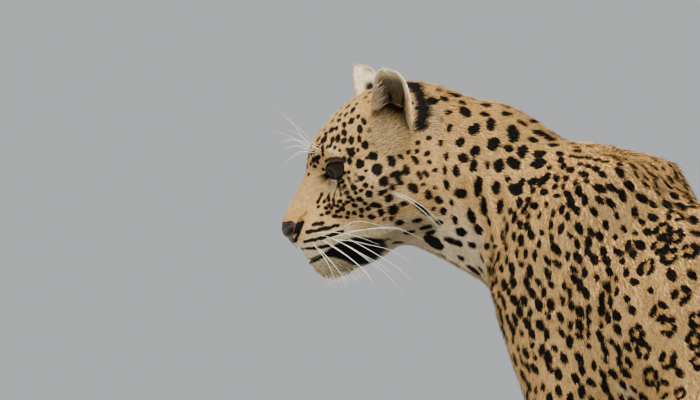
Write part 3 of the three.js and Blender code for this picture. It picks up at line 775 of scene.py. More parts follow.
# The neck: large spots in loose rows
NECK = [
    (454.5, 95, 12, 9), (444.5, 99.5, 8, 5, -30), (471, 86, 5, 8), (478, 100, 10, 9), (491, 100.5, 8, 9),
    (506.5, 105.5, 6, 7), (507.5, 114, 7, 10), (465.5, 112.5, 12, 9, -20), (474, 130, 11, 11),
    (491, 124.5, 13, 9), (513.5, 133.5, 16, 11), (534, 122, 6, 12), (541, 134, 7, 15, 15),
    (550.5, 139.5, 7, 10), (494.5, 144, 12, 12), (460.5, 142, 9, 8), (475.5, 151.5, 10, 10),
    (523, 151.5, 11, 10), (474, 166.5, 11, 7), (488, 165, 8, 4), (499.5, 166.5, 12, 10),
    (456.5, 171, 11, 6, -15), (445.5, 171, 8, 4, -10), (513.5, 163.5, 15, 9, -40), (540, 154.5, 9, 12),
    (539, 164, 11, 13), (479, 186, 16, 8, 10), (496.5, 188, 12, 7), (516.5, 190, 11, 12, 30),
    (522, 183, 9, 6, 20), (533.5, 182, 9, 8, 20), (544.5, 180, 17, 7, 25), (461.5, 193.5, 8, 13),
    (472, 216.5, 14, 6, -20), (485, 206.5, 17, 5), (500.5, 206.5, 14, 6), (447, 185, 9, 5, -15),
    (443.5, 211.5, 7, 6), (455.5, 220, 8, 5, -20), (452, 203, 7, 4, -10), (447, 157, 8, 5),
    (440, 120, 7, 5), (450, 128, 8, 5, 10), (441, 143, 6, 4), (458, 243, 6, 12, 20), (450, 240, 6, 10, 15),
    (474, 270, 16, 6, -50),
]
WHISKER_LINES = [
    [(308, 232.3), (320, 229.8), (329, 227.6), (337, 225.8)],
    [(305.5, 242), (318, 239), (329.5, 235.6), (342, 231.6)],
    [(303, 248.8), (318, 248.2), (328.2, 246)],
    [(314, 224.5), (322, 223.2)],
]
for spec in FACE + FLECKS:
    spot_at_pixel(*spec, both=True)
for spec in NECK:
    spot_at_pixel(*spec)
for line in WHISKER_LINES:
    for x, y in bend(line, 3 * len(line)):
        spot_at_pixel(x, y + random.uniform(-0.5, 0.5), random.uniform(2.0, 3.6), random.uniform(3.4, 5.2),
                      random.uniform(-25, 0), both=True)

# Everywhere else the spots are scattered, no two too close, in the size and spacing of each region
world_x, world_y, world_z = surface.points.T
inward = -np.sign(world_y - MIDLINE) * surface.normals[:, 1]
body = ~of_head & ~surface.ear
behind_shoulder = smooth((world_x - CHEST[0] - 0.02) / 0.06)
PLAIN = 55.0  # a spacing beyond which a region has no spots
PATTERN = {  # spacing, length and width of the spots, in millimetres
    "head": (9.5, 2.7, 2.0),
    "jaw": (15.0, 2.6, 1.8),
    "nose": (60.0, 1.0, 1.0),
    "ear": (80.0, 1.0, 1.0),
    "neck": (17.5, 5.6, 4.2),
    "chest": (11.4, 6.3, 3.3),
    "upper_arm": (11.4, 6.2, 3.3),
    "forearm": (18.0, 5.8, 4.2),
    "forepaw": (12.0, 3.4, 2.8),
    "hindquarters": (30.0, 12.5, 11.0),
    "thigh": (29.0, 12.0, 10.5),
    "hindfoot": (13.5, 3.8, 3.0),
    "tail": (22.0, 8.0, 6.5),
}
pattern = np.array([PATTERN[k] for k in PATTERN])[[list(PATTERN).index(k) for k in kinds]]
pattern = pattern + ((kinds == "chest") * behind_shoulder)[:, None] * np.array([9.5, 3.2, 3.6])
pattern = spread_over(pattern, surface.pairs, 12)
AROUND = [(i, j, k) for i in (-1, 0, 1) for j in (-1, 0, 1) for k in (-1, 0, 1)]


def scatter():
    """Centres for spots: each point of the skin is tried once, in random order."""
    cell = 0.05
    taken = {}

    def place(p):
        return tuple((p // cell).astype(int))

    def is_free(p, home, gap):
        for i, j, k in AROUND:
            for c, r in taken.get((home[0] + i, home[1] + j, home[2] + k), ()):
                if (p[0] - c[0]) ** 2 + (p[1] - c[1]) ** 2 + (p[2] - c[2]) ** 2 < (gap / 2 + r) ** 2:
                    return False
        return True

    for c, r in zip(spots.centres, spots.reach):
        taken.setdefault(place(c), []).append((c, r * MM))
    for k in random.permutation(len(surface.points)):
        p = surface.points[k]
        gap = pattern[k, 0] * MM
        near_edge = rim[k] < 6 or pad_out[k] < 5 or mouth_away[k] < 4
        if pattern[k, 0] > PLAIN or near_edge or in_face[k]:
            continue
        home = place(p)
        if is_free(p, home, gap):
            taken.setdefault(home, []).append((p, gap / 2))
            yield k


# The face is as the photograph shows it: nothing is scattered on its sides, chin and bridge, nor by the ears
near_pixels = mirrored_pixels(surface.points)


def stroke(pixels, count, wide, soft):
    """1 within a width of a line of the photograph's pixels, on both sides of the head, with a soft edge."""
    away, _ = near_line(near_pixels, bend(pixels, count))
    return smooth((wide - away) / soft)


EAR_FUR = [(384, 112), (402, 124), (424, 128), (432, 112)]
ear_fur = stroke(EAR_FUR, 12, 12, 8) * ~surface.ear * (world_z > 0.5)
by_ear = np.maximum(near_ball((-58, 62, 16), 16, 14), ear_fur)
forehead = (side_at < 25) & (at[:, 2] > 4)
in_face = of_head & ((at[:, 0] > -62) | (at[:, 2] < -60)) & ~forehead | (ear_fur > 0.3)
for k in list(scatter()):
    long, wide = pattern[k, 1:]
    grow = random.uniform(0.68, 1.22)
    way = lie[k] + random.normal(0, 0.25, 3)
    out = surface.normals[k]
    way = unit(way - out * (way @ out))
    centre = surface.points[k]
    if long > 10 and inward[k] < 0.4 and world_z[k] > 0.05:
        spots.rosette(centre, out, way, long * grow)
    elif kinds[k] == "chest" and behind_shoulder[k] > 0.5 and random.random() < 0.6:
        spots.rosette(centre, out, way, 10.4)
    else:
        spots.spot(centre, out, way, min(long, 7.6) * grow, min(wide, 4.4) * grow)
ovals = np.array(spots.rows)


def marks_at(points, normals):
    """How far each point lies inside a spot, and inside the tan heart of a rosette, in millimetres."""
    cell = 0.014
    home = np.floor(points / cell).astype(np.int64)
    base = home.min(0) - 2
    span = home.max(0) - base + 3
    key = ((home[:, 0] - base[0]) * span[1] + home[:, 1] - base[1]) * span[2] + home[:, 2] - base[2]
    order = np.argsort(key, kind="stable")
    sorted_key = key[order]
    inside = np.full(len(points), -9.0)
    heart = np.full(len(points), -9.0)
    around = np.array([(i, j) for i in (-1, 0, 1) for j in (-1, 0, 1)])
    warp = wander(points, 0.007)
    for row in ovals:
        centre, out, along, across = row[:3], row[3:6], row[6:9], row[9:12]
        long, wide, kind = row[12:]
        spot_home = np.floor(centre / cell).astype(np.int64) - base
        chosen = []
        for i, j in around:
            first = ((spot_home[0] + i) * span[1] + spot_home[1] + j) * span[2] + spot_home[2] - 1
            a, b = np.searchsorted(sorted_key, (first, first + 3))
            if b > a:
                chosen.append(order[a:b])
        if not chosen:
            continue
        near = np.concatenate(chosen)
        d = (points[near] - centre) / MM
        far = np.sqrt((d @ along / long) ** 2 + (d @ across / wide) ** 2 + (d @ out / 14.0) ** 2)
        least = min(long, wide)
        uneven = 0.13 if long < 7.5 else 0.06
        value = (1 - far + uneven * warp[near]) * least + (0.05 if least < 3 else 0.3)
        value[normals[near] @ out < 0] = -9.0
        target = heart if kind else inside
        target[near] = np.maximum(target[near], value)
    return inside, heart


# Colour: how pale, warm or dark the coat is at each point of the skin, 0 to 1
down = -surface.normals[:, 2]
ahead = -surface.normals[:, 0]
wave = wander(surface.points, 0.06)
hx, hz = at[:, 0], at[:, 2]
BROW_PALE = [(330, 149), (333, 149.5), (336, 151.5)]
UNDER_EYE = [(328, 180.5), (333, 182), (339, 181)]
lower_face = smooth((-56 - hz + 0.2 * (hx + 20) + 4 * wave) / 26) * smooth((hx + 95) / 60)
pale_head = np.maximum.reduce([
    0.95 * lower_face,
    0.5 * ball((7, 34, -16), 6, 9),
    0.75 * stroke(BROW_PALE, 5, 5.0, 4.0) * of_head,
    0.7 * stroke(UNDER_EYE, 5, 5.0, 4.5) * of_head,
    0.3 * ball((-24, 60, -40), 16, 30),
    0.95 * smooth((-78 - hz) / 14),
])
pale_head *= 1 - 0.9 * smooth((hx - 26) / 18) * smooth((hz + 62) / 12)
between_legs = smooth((0.075 - np.abs(world_y - MIDLINE)) / 0.03) * smooth((CHEST[0] + 0.02 - world_x) / 0.04)
over_floor = smooth((world_z - 0.05) / 0.05)
pale_body = np.maximum.reduce([
    smooth((down - 0.25 + 0.08 * wave) / 0.35) * over_floor * smooth((0.5 - world_z) / 0.06),
    0.85 * smooth((inward - 0.35 + 0.08 * wave) / 0.35) * (np.abs(world_y - MIDLINE) < 0.13),
    0.75 * between_legs * smooth((ahead - 0.35) / 0.3) * smooth((0.52 - world_z) / 0.1),
])
pale_neck = smooth((down + 0.12 + 0.1 * wave) / 0.5) * smooth((0.56 - world_z) / 0.06)
tail_under = smooth((down - 0.05) / 0.3)
pale = np.where(of_head, pale_head, pale_body)
pale = np.where(kinds == "neck", 0.85 * pale_neck, pale)
pale = np.where(kinds == "tail", 0.9 * tail_under, pale)
pale = np.where(np.isin(kinds, ("forepaw", "hindfoot")), 0.25 + 0.3 * smooth((0.03 - world_z) / 0.03), pale)

# Inside of the ears: cream hair at the front and the rim, and painted shade deep inside; the back is black
# with a pale bar
ear_side = np.where(at[:, 1] > 0, 1.0, -1.0)
ear_root = np.array([-70.0, 46.0, 16.0])
ear_up = unit(np.array([-0.15, 0.42, 0.88]))
ear_open = np.array([0.64, 0.78, 0.1])
ear_open = unit(ear_open - ear_up * (ear_open @ ear_up))
ear_across = np.cross(ear_up, ear_open)
one_side = np.c_[at[:, 0], side_at, at[:, 2]] - ear_root
ear_h = one_side @ ear_up
ear_o = one_side @ ear_open
ear_a = one_side @ ear_across
normal_in = surface.normals @ HEAD_AXES.T * np.c_[np.ones(len(at)), ear_side, np.ones(len(at))]
faces_open = normal_in @ ear_open
inside_cup = surface.ear & (faces_open > 0.15)
behind_ear = surface.ear & (faces_open < -0.1)
tip_part = smooth((ear_h - 42) / 14)
# Deep in the cup the hair is painted dark: painted shade in the ear's hollow
cup_shade = inside_cup * smooth((27 - np.abs(ear_a - 4)) / 12) * smooth((78 - ear_h) / 22)
cup_shade = 0.78 * cup_shade * smooth((-ear_o + 2) / 8)
back_dark = behind_ear * (1 - 0.95 * smooth(1 - np.abs(ear_h - 56) / 14)) * smooth((82 - ear_h) / 6)
back_dark = back_dark * smooth((-ear_o - 9) / 7)
pale = np.where(surface.ear, 0.75 - 0.55 * inside_cup * (1 - tip_part), pale)
pale = np.where(behind_ear, 0.85 - 0.4 * smooth((38 - ear_h) / 24), pale)

warm = np.zeros(len(pale))
warm = np.maximum(warm, 0.8 * near_ball((56, 16, -42), 9, 12))
warm = np.maximum(warm, 0.35 * smooth((-down - 0.2) / 0.5) * body)
warm = np.maximum(warm, 0.5 * ball((-42, 40, 24), 5, 14))

# Dark: lips, lids, the tear line, the patch at the corner of the mouth, the ears' backs, pads and soles; also
# painted shade in the nostrils and deep in the ears, and the upper lashes with painted shade under the brow
PATCH_LINE = [(324, 255), (338, 251), (352, 251), (366, 250), (376, 246)]
PATCH_WIDE = [(0.0, 2.5), (0.25, 8.0), (0.55, 14.5), (0.8, 14.0), (1.0, 9.0)]
faces_side = np.abs(surface.normals @ head_left) > 0.12
on_side = faces_side & of_head
patch_away, patch_along = near_line(near_pixels, bend(PATCH_LINE, 20))
patch_wide = np.interp(patch_along, *np.transpose(PATCH_WIDE))
patch = smooth((patch_wide - patch_away + 1.0) / 3.0) * on_side
TEAR = [(327, 174.5), (325, 177), (323, 178.5)]
tear = stroke(TEAR, 9, 2.9, 1.2) * on_side
# The nostrils' openings are painted black: painted shade in the hollows of the nose
OPENING = [(290.5, 232.5), (294.5, 230), (299.5, 225.5)]
nostril = np.maximum(stroke(NOSTRIL, 12, 2.6, 1.4), stroke(OPENING, 9, 4.6, 1.4)) * on_side
STREAK = [(298, 221), (302, 217), (306.5, 212.5)]
streak = 0.5 * stroke(STREAK, 6, 2.6, 1.6) * on_side
# The dark band over each eye: the upper lid's dark lashes, with painted shade under the brow
LASH_AND_SHADE = [(327, 161.5), (331, 159.8), (338, 159.2), (344, 161)]
lash_and_shade = 0.8 * stroke(LASH_AND_SHADE, 9, 3.4, 1.4) * on_side
lips = smooth((4.2 - mouth_away) / 2.2)
lids = smooth((1.1 + 0.9 * upper_lid - rim) / 0.8)
sole = smooth((down - 0.75) / 0.15) * smooth((0.012 - world_z) / 0.006)
dark = [patch, tear, nostril, streak, lash_and_shade, lips, lids, 0.9 * sole, cup_shade * 0.9, back_dark]
dark = np.maximum.reduce(dark)
BEHIND_EAR = [(405, 79), (413, 86), (419, 97), (421, 110), (417, 127)]
behind = stroke(BEHIND_EAR, 16, 8.5 + 1.2 * wander(surface.points, 0.012), 3.5) * faces_side
dark = np.maximum(dark, 0.95 * behind * ~surface.ear * (of_head | (kinds == "neck")))
# The floor of the ear cup on the head is painted dark too: painted shade in the hollow
CUP_FLOOR = [(378, 103), (388, 108), (397, 111)]
cup_floor_shade = stroke(CUP_FLOOR, 7, 8.5, 7) * on_side * ~surface.ear
dark = np.maximum(dark, 0.75 * cup_floor_shade)

# Brightness of the coat, which multiplies its colour: the body is painted lighter than the head to offset the
# shade among its longer tufts, and lighter still low down; both are painted light
lightness = np.where(of_head, 0.38, 0.66 + 0.16 * smooth((0.68 - world_z) / 0.15))
lightness = spread_over(lightness[:, None], surface.pairs, 40)[:, 0]
# The last term paints the coat under the jaw darker: painted shade
lightness = np.where(surface.ear, 0.5, lightness - 0.16 * by_ear - 0.28 * of_head * smooth((-80 - hz) / 14))
variety = np.where(of_head, 0.24, 0.22)

# No hair on the nose pad, the lids' edges, the line of the lips, deep in the ears or on the soles
bare = np.maximum.reduce([
    smooth((1.0 - pad_out) / 1.0),
    smooth((2.2 - rim) / 0.8),
    nostril,
    smooth((2.0 - mouth_away) / 1.0),
    sole,
    0.5 * cup_shade,
])
length = length + 5.0 * by_ear
depth = depth + 2.0 * by_ear
pale = np.maximum(pale, 0.3 * by_ear)
EAR_RUFOUS = [(366, 101), (372, 104), (379, 107)]
rufous = stroke(EAR_RUFOUS, 5, 9, 6) * (of_head | surface.ear)
pale = pale * (1 - 0.8 * rufous)
warm = np.maximum(warm, 0.8 * rufous)
warm = np.maximum(warm, 0.5 * inside_cup * (1 - tip_part))
length = np.where(surface.ear, 5.5 + 7.0 * inside_cup * smooth((46 - ear_h) / 20), length)
apart = np.where(surface.ear, 1.15, apart)
width = np.where(surface.ear, 0.6, width)
inner_ear_lie = ear_up * 0.7 + ear_open * 0.6
ear_lie = inner_ear_lie[0] * head_forward + inner_ear_lie[2] * head_up
ear_lie = ear_lie + inner_ear_lie[1] * ear_side[:, None] * head_left
lie = np.where(inside_cup[:, None], ear_lie, lie)


def laid(ways, normals):
    """Directions laid flat on the skin."""
    return unit(ways - normals * (ways * normals).sum(1)[:, None])


for _ in range(3):
    lie = laid(lie, surface.normals)
    lie = spread_over(lie, surface.pairs, 4)
lie = laid(lie, surface.normals)
inside, heart = marks_at(surface.points, surface.normals)
no_mark = 3.0 * smooth((by_ear - 0.6) / 0.3)
inside = inside - no_mark

# The skin carries the colours too, so that none shows as a gap between the tufts; it is painted as dark as
# the tufts' roots, partly as painted shade under the coat
ATTRIBUTES = ("mark", "heart", "pale", "warm", "dark", "tone", "tip")


def carry(mesh, **values):
    for name in ATTRIBUTES:
        data = mesh.attributes.new(name, "FLOAT", "POINT").data
        data.foreach_set("value", np.asarray(values[name], np.float32))


def soft_faces(mesh):
    mesh.polygons.foreach_set("use_smooth", np.ones(len(mesh.polygons), bool))


# Materials
def principled(name, roughness, specular, coat=0.0):
    material = bpy.data.materials.new(name)
    material.use_nodes = True
    shader = material.node_tree.nodes["Principled BSDF"]
    shader.inputs["Roughness"].default_value = roughness
    shader.inputs["Specular IOR Level"].default_value = specular
    shader.inputs["Coat Weight"].default_value = coat
    return material, shader


def attribute(tree, name):
    made = tree.nodes.new("ShaderNodeAttribute")
    made.attribute_name = name
    return made.outputs["Fac"]


def mixed(tree, factor, a, b, kind="MIX"):
    made = tree.nodes.new("ShaderNodeMix")
    made.data_type = "RGBA"
    made.blend_type = kind
    for socket, value in (("Factor", factor), ("A", a), ("B", b)):
        kind_wanted = "VALUE" if socket == "Factor" else "RGBA"
        target = [s for s in made.inputs if s.name == socket and s.type == kind_wanted][0]
        if isinstance(value, (tuple, float)):
            target.default_value = value
        else:
            tree.links.new(value, target)
    return [s for s in made.outputs if s.type == "RGBA"][0]


def ranged(tree, value, low, high, to_low=0.0, to_high=1.0):
    made = tree.nodes.new("ShaderNodeMapRange")
    made.interpolation_type = "SMOOTHSTEP"
    tree.links.new(value, made.inputs["Value"])
    for socket, number in (("From Min", low), ("From Max", high), ("To Min", to_low), ("To Max", to_high)):
        made.inputs[socket].default_value = number
    return made.outputs["Result"]


def math_node(tree, kind, a, b):
    made = tree.nodes.new("ShaderNodeMath")
    made.operation = kind
    for socket, value in zip(made.inputs, (a, b)):
        if isinstance(value, float):
            socket.default_value = value
        else:
            tree.links.new(value, socket)
    return made.outputs["Value"]


def textured(tree, kind, scale):
    """A texture node that is laid out in the object's own coordinates."""
    made = tree.nodes.new(kind)
    place = tree.nodes.new("ShaderNodeTexCoord")
    tree.links.new(place.outputs["Object"], made.inputs["Vector"])
    made.inputs["Scale"].default_value = scale
    return made


def noise(tree, scale, detail=3.0):
    made = textured(tree, "ShaderNodeTexNoise", scale)
    made.inputs["Detail"].default_value = detail
    return made.outputs["Fac"]


def bumped(tree, shader, height, strength, distance):
    bump = tree.nodes.new("ShaderNodeBump")
    bump.inputs["Strength"].default_value = strength
    bump.inputs["Distance"].default_value = distance
    tree.links.new(height, bump.inputs["Height"])
    tree.links.new(bump.outputs["Normal"], shader.inputs["Normal"])


TAN = (0.57, 0.385, 0.165, 1)
GOLD = (0.52, 0.30, 0.085, 1)
CREAM = (0.72, 0.63, 0.44, 1)
BROWN = (0.09, 0.042, 0.016, 1)
BLACK = (0.006, 0.005, 0.004, 1)


def coat_material(name, bumpy):
    material, shader = principled(name, 0.8, 0.1)
    tree = material.node_tree
    base = mixed(tree, attribute(tree, "warm"), TAN, GOLD)
    base = mixed(tree, ranged(tree, noise(tree, 26.0), 0.35, 0.7, 0.0, 0.3), base, GOLD)
    base = mixed(tree, attribute(tree, "pale"), base, CREAM)
    in_heart = ranged(tree, attribute(tree, "heart"), -1.5, 2.0, 0.0, 0.62)
    base = mixed(tree, in_heart, base, GOLD)
    rough_edge = math_node(tree, "MULTIPLY_ADD", noise(tree, 420.0), 0.8)
    rough_edge.node.inputs[2].default_value = -0.2
    mark = math_node(tree, "ADD", attribute(tree, "mark"), rough_edge)
    base = mixed(tree, ranged(tree, mark, -0.9, 0.0, 0.0, 0.9), base, BROWN)
    base = mixed(tree, ranged(tree, mark, -0.4, 0.4), base, BLACK)
    base = mixed(tree, ranged(tree, attribute(tree, "dark"), 0.1, 0.9), base, BLACK)
    # Each tuft's own random tone, with the painted light and shade of its region, scales the colour
    shade = mixed(tree, attribute(tree, "tone"), (0.45, 0.42, 0.36, 1), (1.45, 1.46, 1.5, 1))
    base = mixed(tree, 1.0, base, shade, "MULTIPLY")
    fine = ranged(tree, noise(tree, 330.0, 4.0), 0.3, 0.7)
    fine_shade = mixed(tree, fine, (0.78, 0.76, 0.72, 1), (1.1, 1.1, 1.1, 1))
    base = mixed(tree, 1.0, base, fine_shade, "MULTIPLY")
    # Darker toward the roots, partly the underfur's own colour and partly painted shade deep in the coat; a
    # little lighter at the tips
    root_shade = mixed(tree, attribute(tree, "tip"), (0.78, 0.74, 0.68, 1), (1.06, 1.06, 1.06, 1))
    base = mixed(tree, 1.0, base, root_shade, "MULTIPLY")
    tree.links.new(base, shader.inputs["Base Color"])
    if bumpy:
        bumped(tree, shader, noise(tree, 900.0, 2.0), 0.35, 0.001)
    return material


coat = coat_material("coat", False)
skin_coat = coat_material("skin_coat", True)


def build_skin():
    mesh = mesh_from("skin", surface.points, surface.tri)
    soft_faces(mesh)
    count = len(surface.points)
    # The skin's low tip value paints it darker, like the tufts' roots: painted shade under the coat
    carry(mesh, mark=inside, heart=heart, pale=pale, warm=warm, dark=dark,
          tone=lightness, tip=np.full(count, 0.1))
    mesh.materials.append(skin_coat)
    made = object_from("skin", mesh)
    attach(made, "root")
    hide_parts(*[n for n in PARTS if n != "nose"])


build_skin()


# Nose pad: a thin shell over the bare skin of the nose
def build_pad():
    keep = (pad_out[surface.tri] < 1.2).all(1) & (~surface.ear[surface.tri]).all(1)
    used = np.unique(surface.tri[keep])
    where = np.full(len(surface.points), -1)
    where[used] = np.arange(len(used))
    faces = where[surface.tri[keep]]
    lift = 0.35 * smooth((0.2 - pad_out[used]) / 1.2) - 0.3 * smooth((pad_out[used] + 0.2) / 1.0)
    outer = surface.points[used] + surface.normals[used] * (lift * MM)[:, None]
    inner = surface.points[used] - surface.normals[used] * 1.5 * MM
    n = len(used)
    directed = np.concatenate([faces[:, [0, 1]], faces[:, [1, 2]], faces[:, [2, 0]]])
    edges = np.sort(directed, axis=1)
    keys = edges[:, 0] * n + edges[:, 1]
    names, uses = np.unique(keys, return_counts=True)
    start, end = directed[np.isin(keys, names[uses == 1])].T
    wall = np.concatenate([np.c_[end, start, start + n], np.c_[end, start + n, end + n]])
    shell = np.concatenate([faces, faces[:, ::-1] + n, wall])
    mesh = mesh_from("nose_pad", np.concatenate([outer, inner]), shell)
    soft_faces(mesh)
    material, shader = principled("nose_pad", 0.5, 0.2)
    tree = material.node_tree
    patches = ranged(tree, noise(tree, 70.0), 0.4, 0.62)
    leather = mixed(tree, patches, (0.018, 0.010, 0.008, 1), (0.055, 0.029, 0.023, 1))
    tree.links.new(leather, shader.inputs["Base Color"])
    cells = textured(tree, "ShaderNodeTexVoronoi", 700.0)
    bumped(tree, shader, cells.outputs["Distance"], 0.5, 0.0006)
    mesh.materials.append(material)
    made = object_from("nose_pad", mesh)
    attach(made, "root")
    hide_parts("nose")


build_pad()


# Eyes
IRIS_REACH = 1.12  # angles from the gaze, in radians
PUPIL_REACH = 0.40
GAZE = (60, 62, -6)  # what the eyes look at, in the head's frame


def build_eye(name, side):
    centre = eye_axes(side)[0]
    gaze = unit(on_head(GAZE[0], side * GAZE[1], GAZE[2]) - centre)
    above = unit(head_up - gaze * (head_up @ gaze))
    bpy.ops.mesh.primitive_uv_sphere_add(segments=64, ring_count=40, radius=EYE_R)
    made = bpy.context.object
    made.name = "eyeball_" + name
    points = points_of(made.data)
    angle = np.arccos(np.clip(points[:, 2] / EYE_R, -1, 1))
    bulge = 1 + 0.085 * smooth((0.95 - angle) / 0.6)
    points = points * bulge[:, None]
    set_points(made.data, centre + points @ np.array([np.cross(above, gaze), above, gaze]))
    soft_faces(made.data)
    reach = made.data.attributes.new("reach", "FLOAT", "POINT")
    reach.data.foreach_set("value", angle.astype(np.float32))
    made.data.materials.clear()
    made.data.materials.append(eye_material)
    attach(made, "root")
    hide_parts("eye_" + name)


def make_eye_material():
    material, shader = principled("eye", 0.12, 0.04, coat=0.07)
    shader.inputs["Coat Roughness"].default_value = 0.03
    tree = material.node_tree
    reach = attribute(tree, "reach")
    fibres = ranged(tree, noise(tree, 900.0, 4.0), 0.35, 0.7)
    # The iris is painted near black: its own dark olive deepened by painted shade from the lids and brow
    iris = mixed(tree, fibres, (0.006, 0.005, 0.003, 1), (0.018, 0.014, 0.006, 1))
    iris = mixed(tree, ranged(tree, reach, 0.30, 0.62, 0.8, 0.0), iris, (0.06, 0.04, 0.016, 1))
    past_pupil = ranged(tree, reach, PUPIL_REACH - 0.03, PUPIL_REACH + 0.05)
    base = mixed(tree, past_pupil, (0.002, 0.002, 0.002, 1), iris)
    # Past the iris, under the lids' edges, the eyeball is painted dark: painted shade
    base = mixed(tree, ranged(tree, reach, IRIS_REACH - 0.14, IRIS_REACH), base, (0.012, 0.008, 0.005, 1))
    tree.links.new(base, shader.inputs["Base Color"])
    return material


eye_material = make_eye_material()
for name, side in (("left", 1), ("right", -1)):
    build_eye(name, side)


# Coat of tufts: each is a flat slender spike with its broad face outward
def build_coat():
    a, b, c = (surface.points[surface.tri[:, k]] for k in range(3))
    area = np.linalg.norm(np.cross(b - a, c - a), axis=1) / 2
    apart_here, bare_here = (values[surface.tri].mean(1) for values in (apart, bare))
    expected = area / (apart_here * MM) ** 2 * (1 - bare_here) ** 2 * DENSITY
    number = np.floor(expected + random.random(len(expected))).astype(int)
    face = np.repeat(np.arange(len(number)), number)
    r1, r2 = np.sqrt(random.random(len(face))), random.random(len(face))
    share = np.c_[1 - r1, r1 * (1 - r2), r1 * r2]
    corner = surface.tri[face]

    def here(values):
        if values.ndim == 1:
            return (values[corner] * share).sum(1)
        return (values[corner] * share[:, :, None]).sum(1)

    root = here(surface.points)
    out = unit(here(surface.normals))
    way = laid(here(lie), out)
    side = np.cross(out, way)
    turn = random.normal(0, 0.15, len(root)) + 0.12 * wander(root, 0.045)
    way = way * np.cos(turn)[:, None] + side * np.sin(turn)[:, None]
    side = np.cross(out, way)
    long = here(length) * MM * random.uniform(0.7, 1.15, len(root))
    wide = here(width) * MM * random.uniform(0.7, 1.2, len(root))
    rise = np.clip(here(depth) * MM * random.uniform(0.55, 1.1, len(root)), 0.5 * MM, 0.6 * long)
    flat = np.sqrt(long**2 - rise**2)
    sunk = root - out * 0.4 * MM
    tip = root + way * flat[:, None] + out * rise[:, None]
    left = sunk + side * wide[:, None] / 2
    right = sunk - side * wide[:, None] / 2
    under = sunk - way * wide[:, None] * 0.5 - out * wide[:, None] * 0.5
    corners = np.stack([left, right, under, tip], axis=1)
    faces = np.array([[0, 1, 3], [1, 2, 3], [2, 0, 3], [0, 2, 1]])
    mark, hearts = marks_at(root + way * (flat * SHOWN)[:, None], out)
    mark = mark - here(no_mark)
    # The tufts' brightness: each one's own random tone with the painted light and shade of its region
    values = dict(mark=mark, heart=hearts, pale=here(pale), warm=here(warm), dark=here(dark),
                  tone=np.clip(here(lightness) + random.normal(0, 1, len(root)) * here(variety), 0, 1))
    kind_names = list(COATS)
    owner = np.array([kind_names.index(k) for k in kinds])[corner[:, 0]]
    for k, kind in enumerate(kind_names):
        mine = np.flatnonzero(owner == k)
        if not len(mine):
            continue
        mine = mine[np.argsort(root[mine, 1])]
        pieces = max(1, math.ceil(len(mine) / TUFTS_EACH))
        for n, chosen in enumerate(np.array_split(mine, pieces)):
            label = f"coat_{kind}" + (f"_{n + 1}" if pieces > 1 else "")
            carried = {key: v[chosen] for key, v in values.items()}
            add_tufts(label, corners[chosen], faces, carried, root[chosen])


def unwrap(points):
    """A cylinder's unwrap about the long axis of a group of points, 0 to 1 each way."""
    middle = points.mean(0)
    _, _, axes = np.linalg.svd(points - middle, full_matrices=False)
    local = (points - middle) @ axes.T
    u = np.arctan2(local[:, 2], local[:, 1]) / (2 * math.pi) + 0.5
    v = (local[:, 0] - local[:, 0].min()) / max(np.ptp(local[:, 0]), 1e-6)
    return np.c_[u, v] * 0.98 + 0.01


SHOWN = 0.55  # the part of a tuft that shows most, from its root
PRESSED = 0.0006  # the height above the floor below which hairs are pressed flat
PATCH = 0.0015  # half the width of a tuft's patch in the unwrap
DENSITY = 1.0
TUFTS_EACH = 47000


def above_floor(points):
    """Points that would pass under the floor are pressed up to just above it."""
    points = np.array(points)
    low = points[:, 2] < PRESSED
    points[low, 2] = PRESSED * np.exp((points[low, 2] - PRESSED) / 0.004)
    return points


def add_tufts(label, corners, faces, values, roots):
    count = len(corners)
    points = above_floor(corners.reshape(-1, 3))
    tri = (faces[None] + 4 * np.arange(count)[:, None, None]).reshape(-1, 3)
    mesh = bpy.data.meshes.new(label)
    mesh.vertices.add(len(points))
    mesh.vertices.foreach_set("co", points.astype(np.float32).ravel())
    mesh.loops.add(len(tri) * 3)
    mesh.loops.foreach_set("vertex_index", tri.astype(np.int32).ravel())
    mesh.polygons.add(len(tri))
    mesh.polygons.foreach_set("loop_start", np.arange(0, len(tri) * 3, 3, dtype=np.int32))
    mesh.update(calc_edges=True)
    mesh.validate()
    four = {key: np.repeat(v, 4) for key, v in values.items()}
    carry(mesh, tip=np.tile([0.0, 0.0, 0.0, 1.0], count), **four)
    middle = np.repeat(unwrap(roots), 12, axis=0)
    around = np.array([[-1, -1], [1, -1], [0, 1]]) * PATCH
    middle += np.tile(around, (4 * count, 1))
    layer = mesh.uv_layers.new(name="OFBake")
    layer.data.foreach_set("uv", middle.astype(np.float32).ravel())
    mesh.materials.append(coat)
    made = object_from(label, mesh)
    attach(made, "root")


build_coat()


# Whiskers and other single hairs: thin tapered tubes
def tubes(label, paths, thick, colour, sides=4):
    """Tapered tubes along paths of points, closed at both ends."""
    points, faces = [], []
    for path, r in zip(paths, thick):
        path = np.asarray(path)
        ways = unit(np.gradient(path, axis=0))
        start = len(points)
        over = unit(np.cross(ways[0], (0.3, 0.5, 0.81)))
        for k, (p, way) in enumerate(zip(path, ways)):
            over = unit(over - way * (over @ way))
            beside = np.cross(way, over)
            size = r * MM * (1 - 0.85 * (k / (len(path) - 1)) ** 1.3)
            for n in range(sides):
                turn = 2 * math.pi * n / sides
                points.append(p + size * (math.cos(turn) * over + math.sin(turn) * beside))
        for k in range(len(path) - 1):
            for n in range(sides):
                a, b = start + k * sides + n, start + k * sides + (n + 1) % sides
                faces += [(a, b, b + sides), (a, b + sides, a + sides)]
        last = start + (len(path) - 1) * sides
        for n in range(1, sides - 1):
            faces += [(start, start + n + 1, start + n), (last, last + n, last + n + 1)]
    mesh = mesh_from(label, above_floor(points), faces)
    soft_faces(mesh)
    material, shader = principled(label, 0.5, 0.3)
    shader.inputs["Base Color"].default_value = colour
    mesh.materials.append(material)
    made = object_from(label, mesh)
    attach(made, "root")


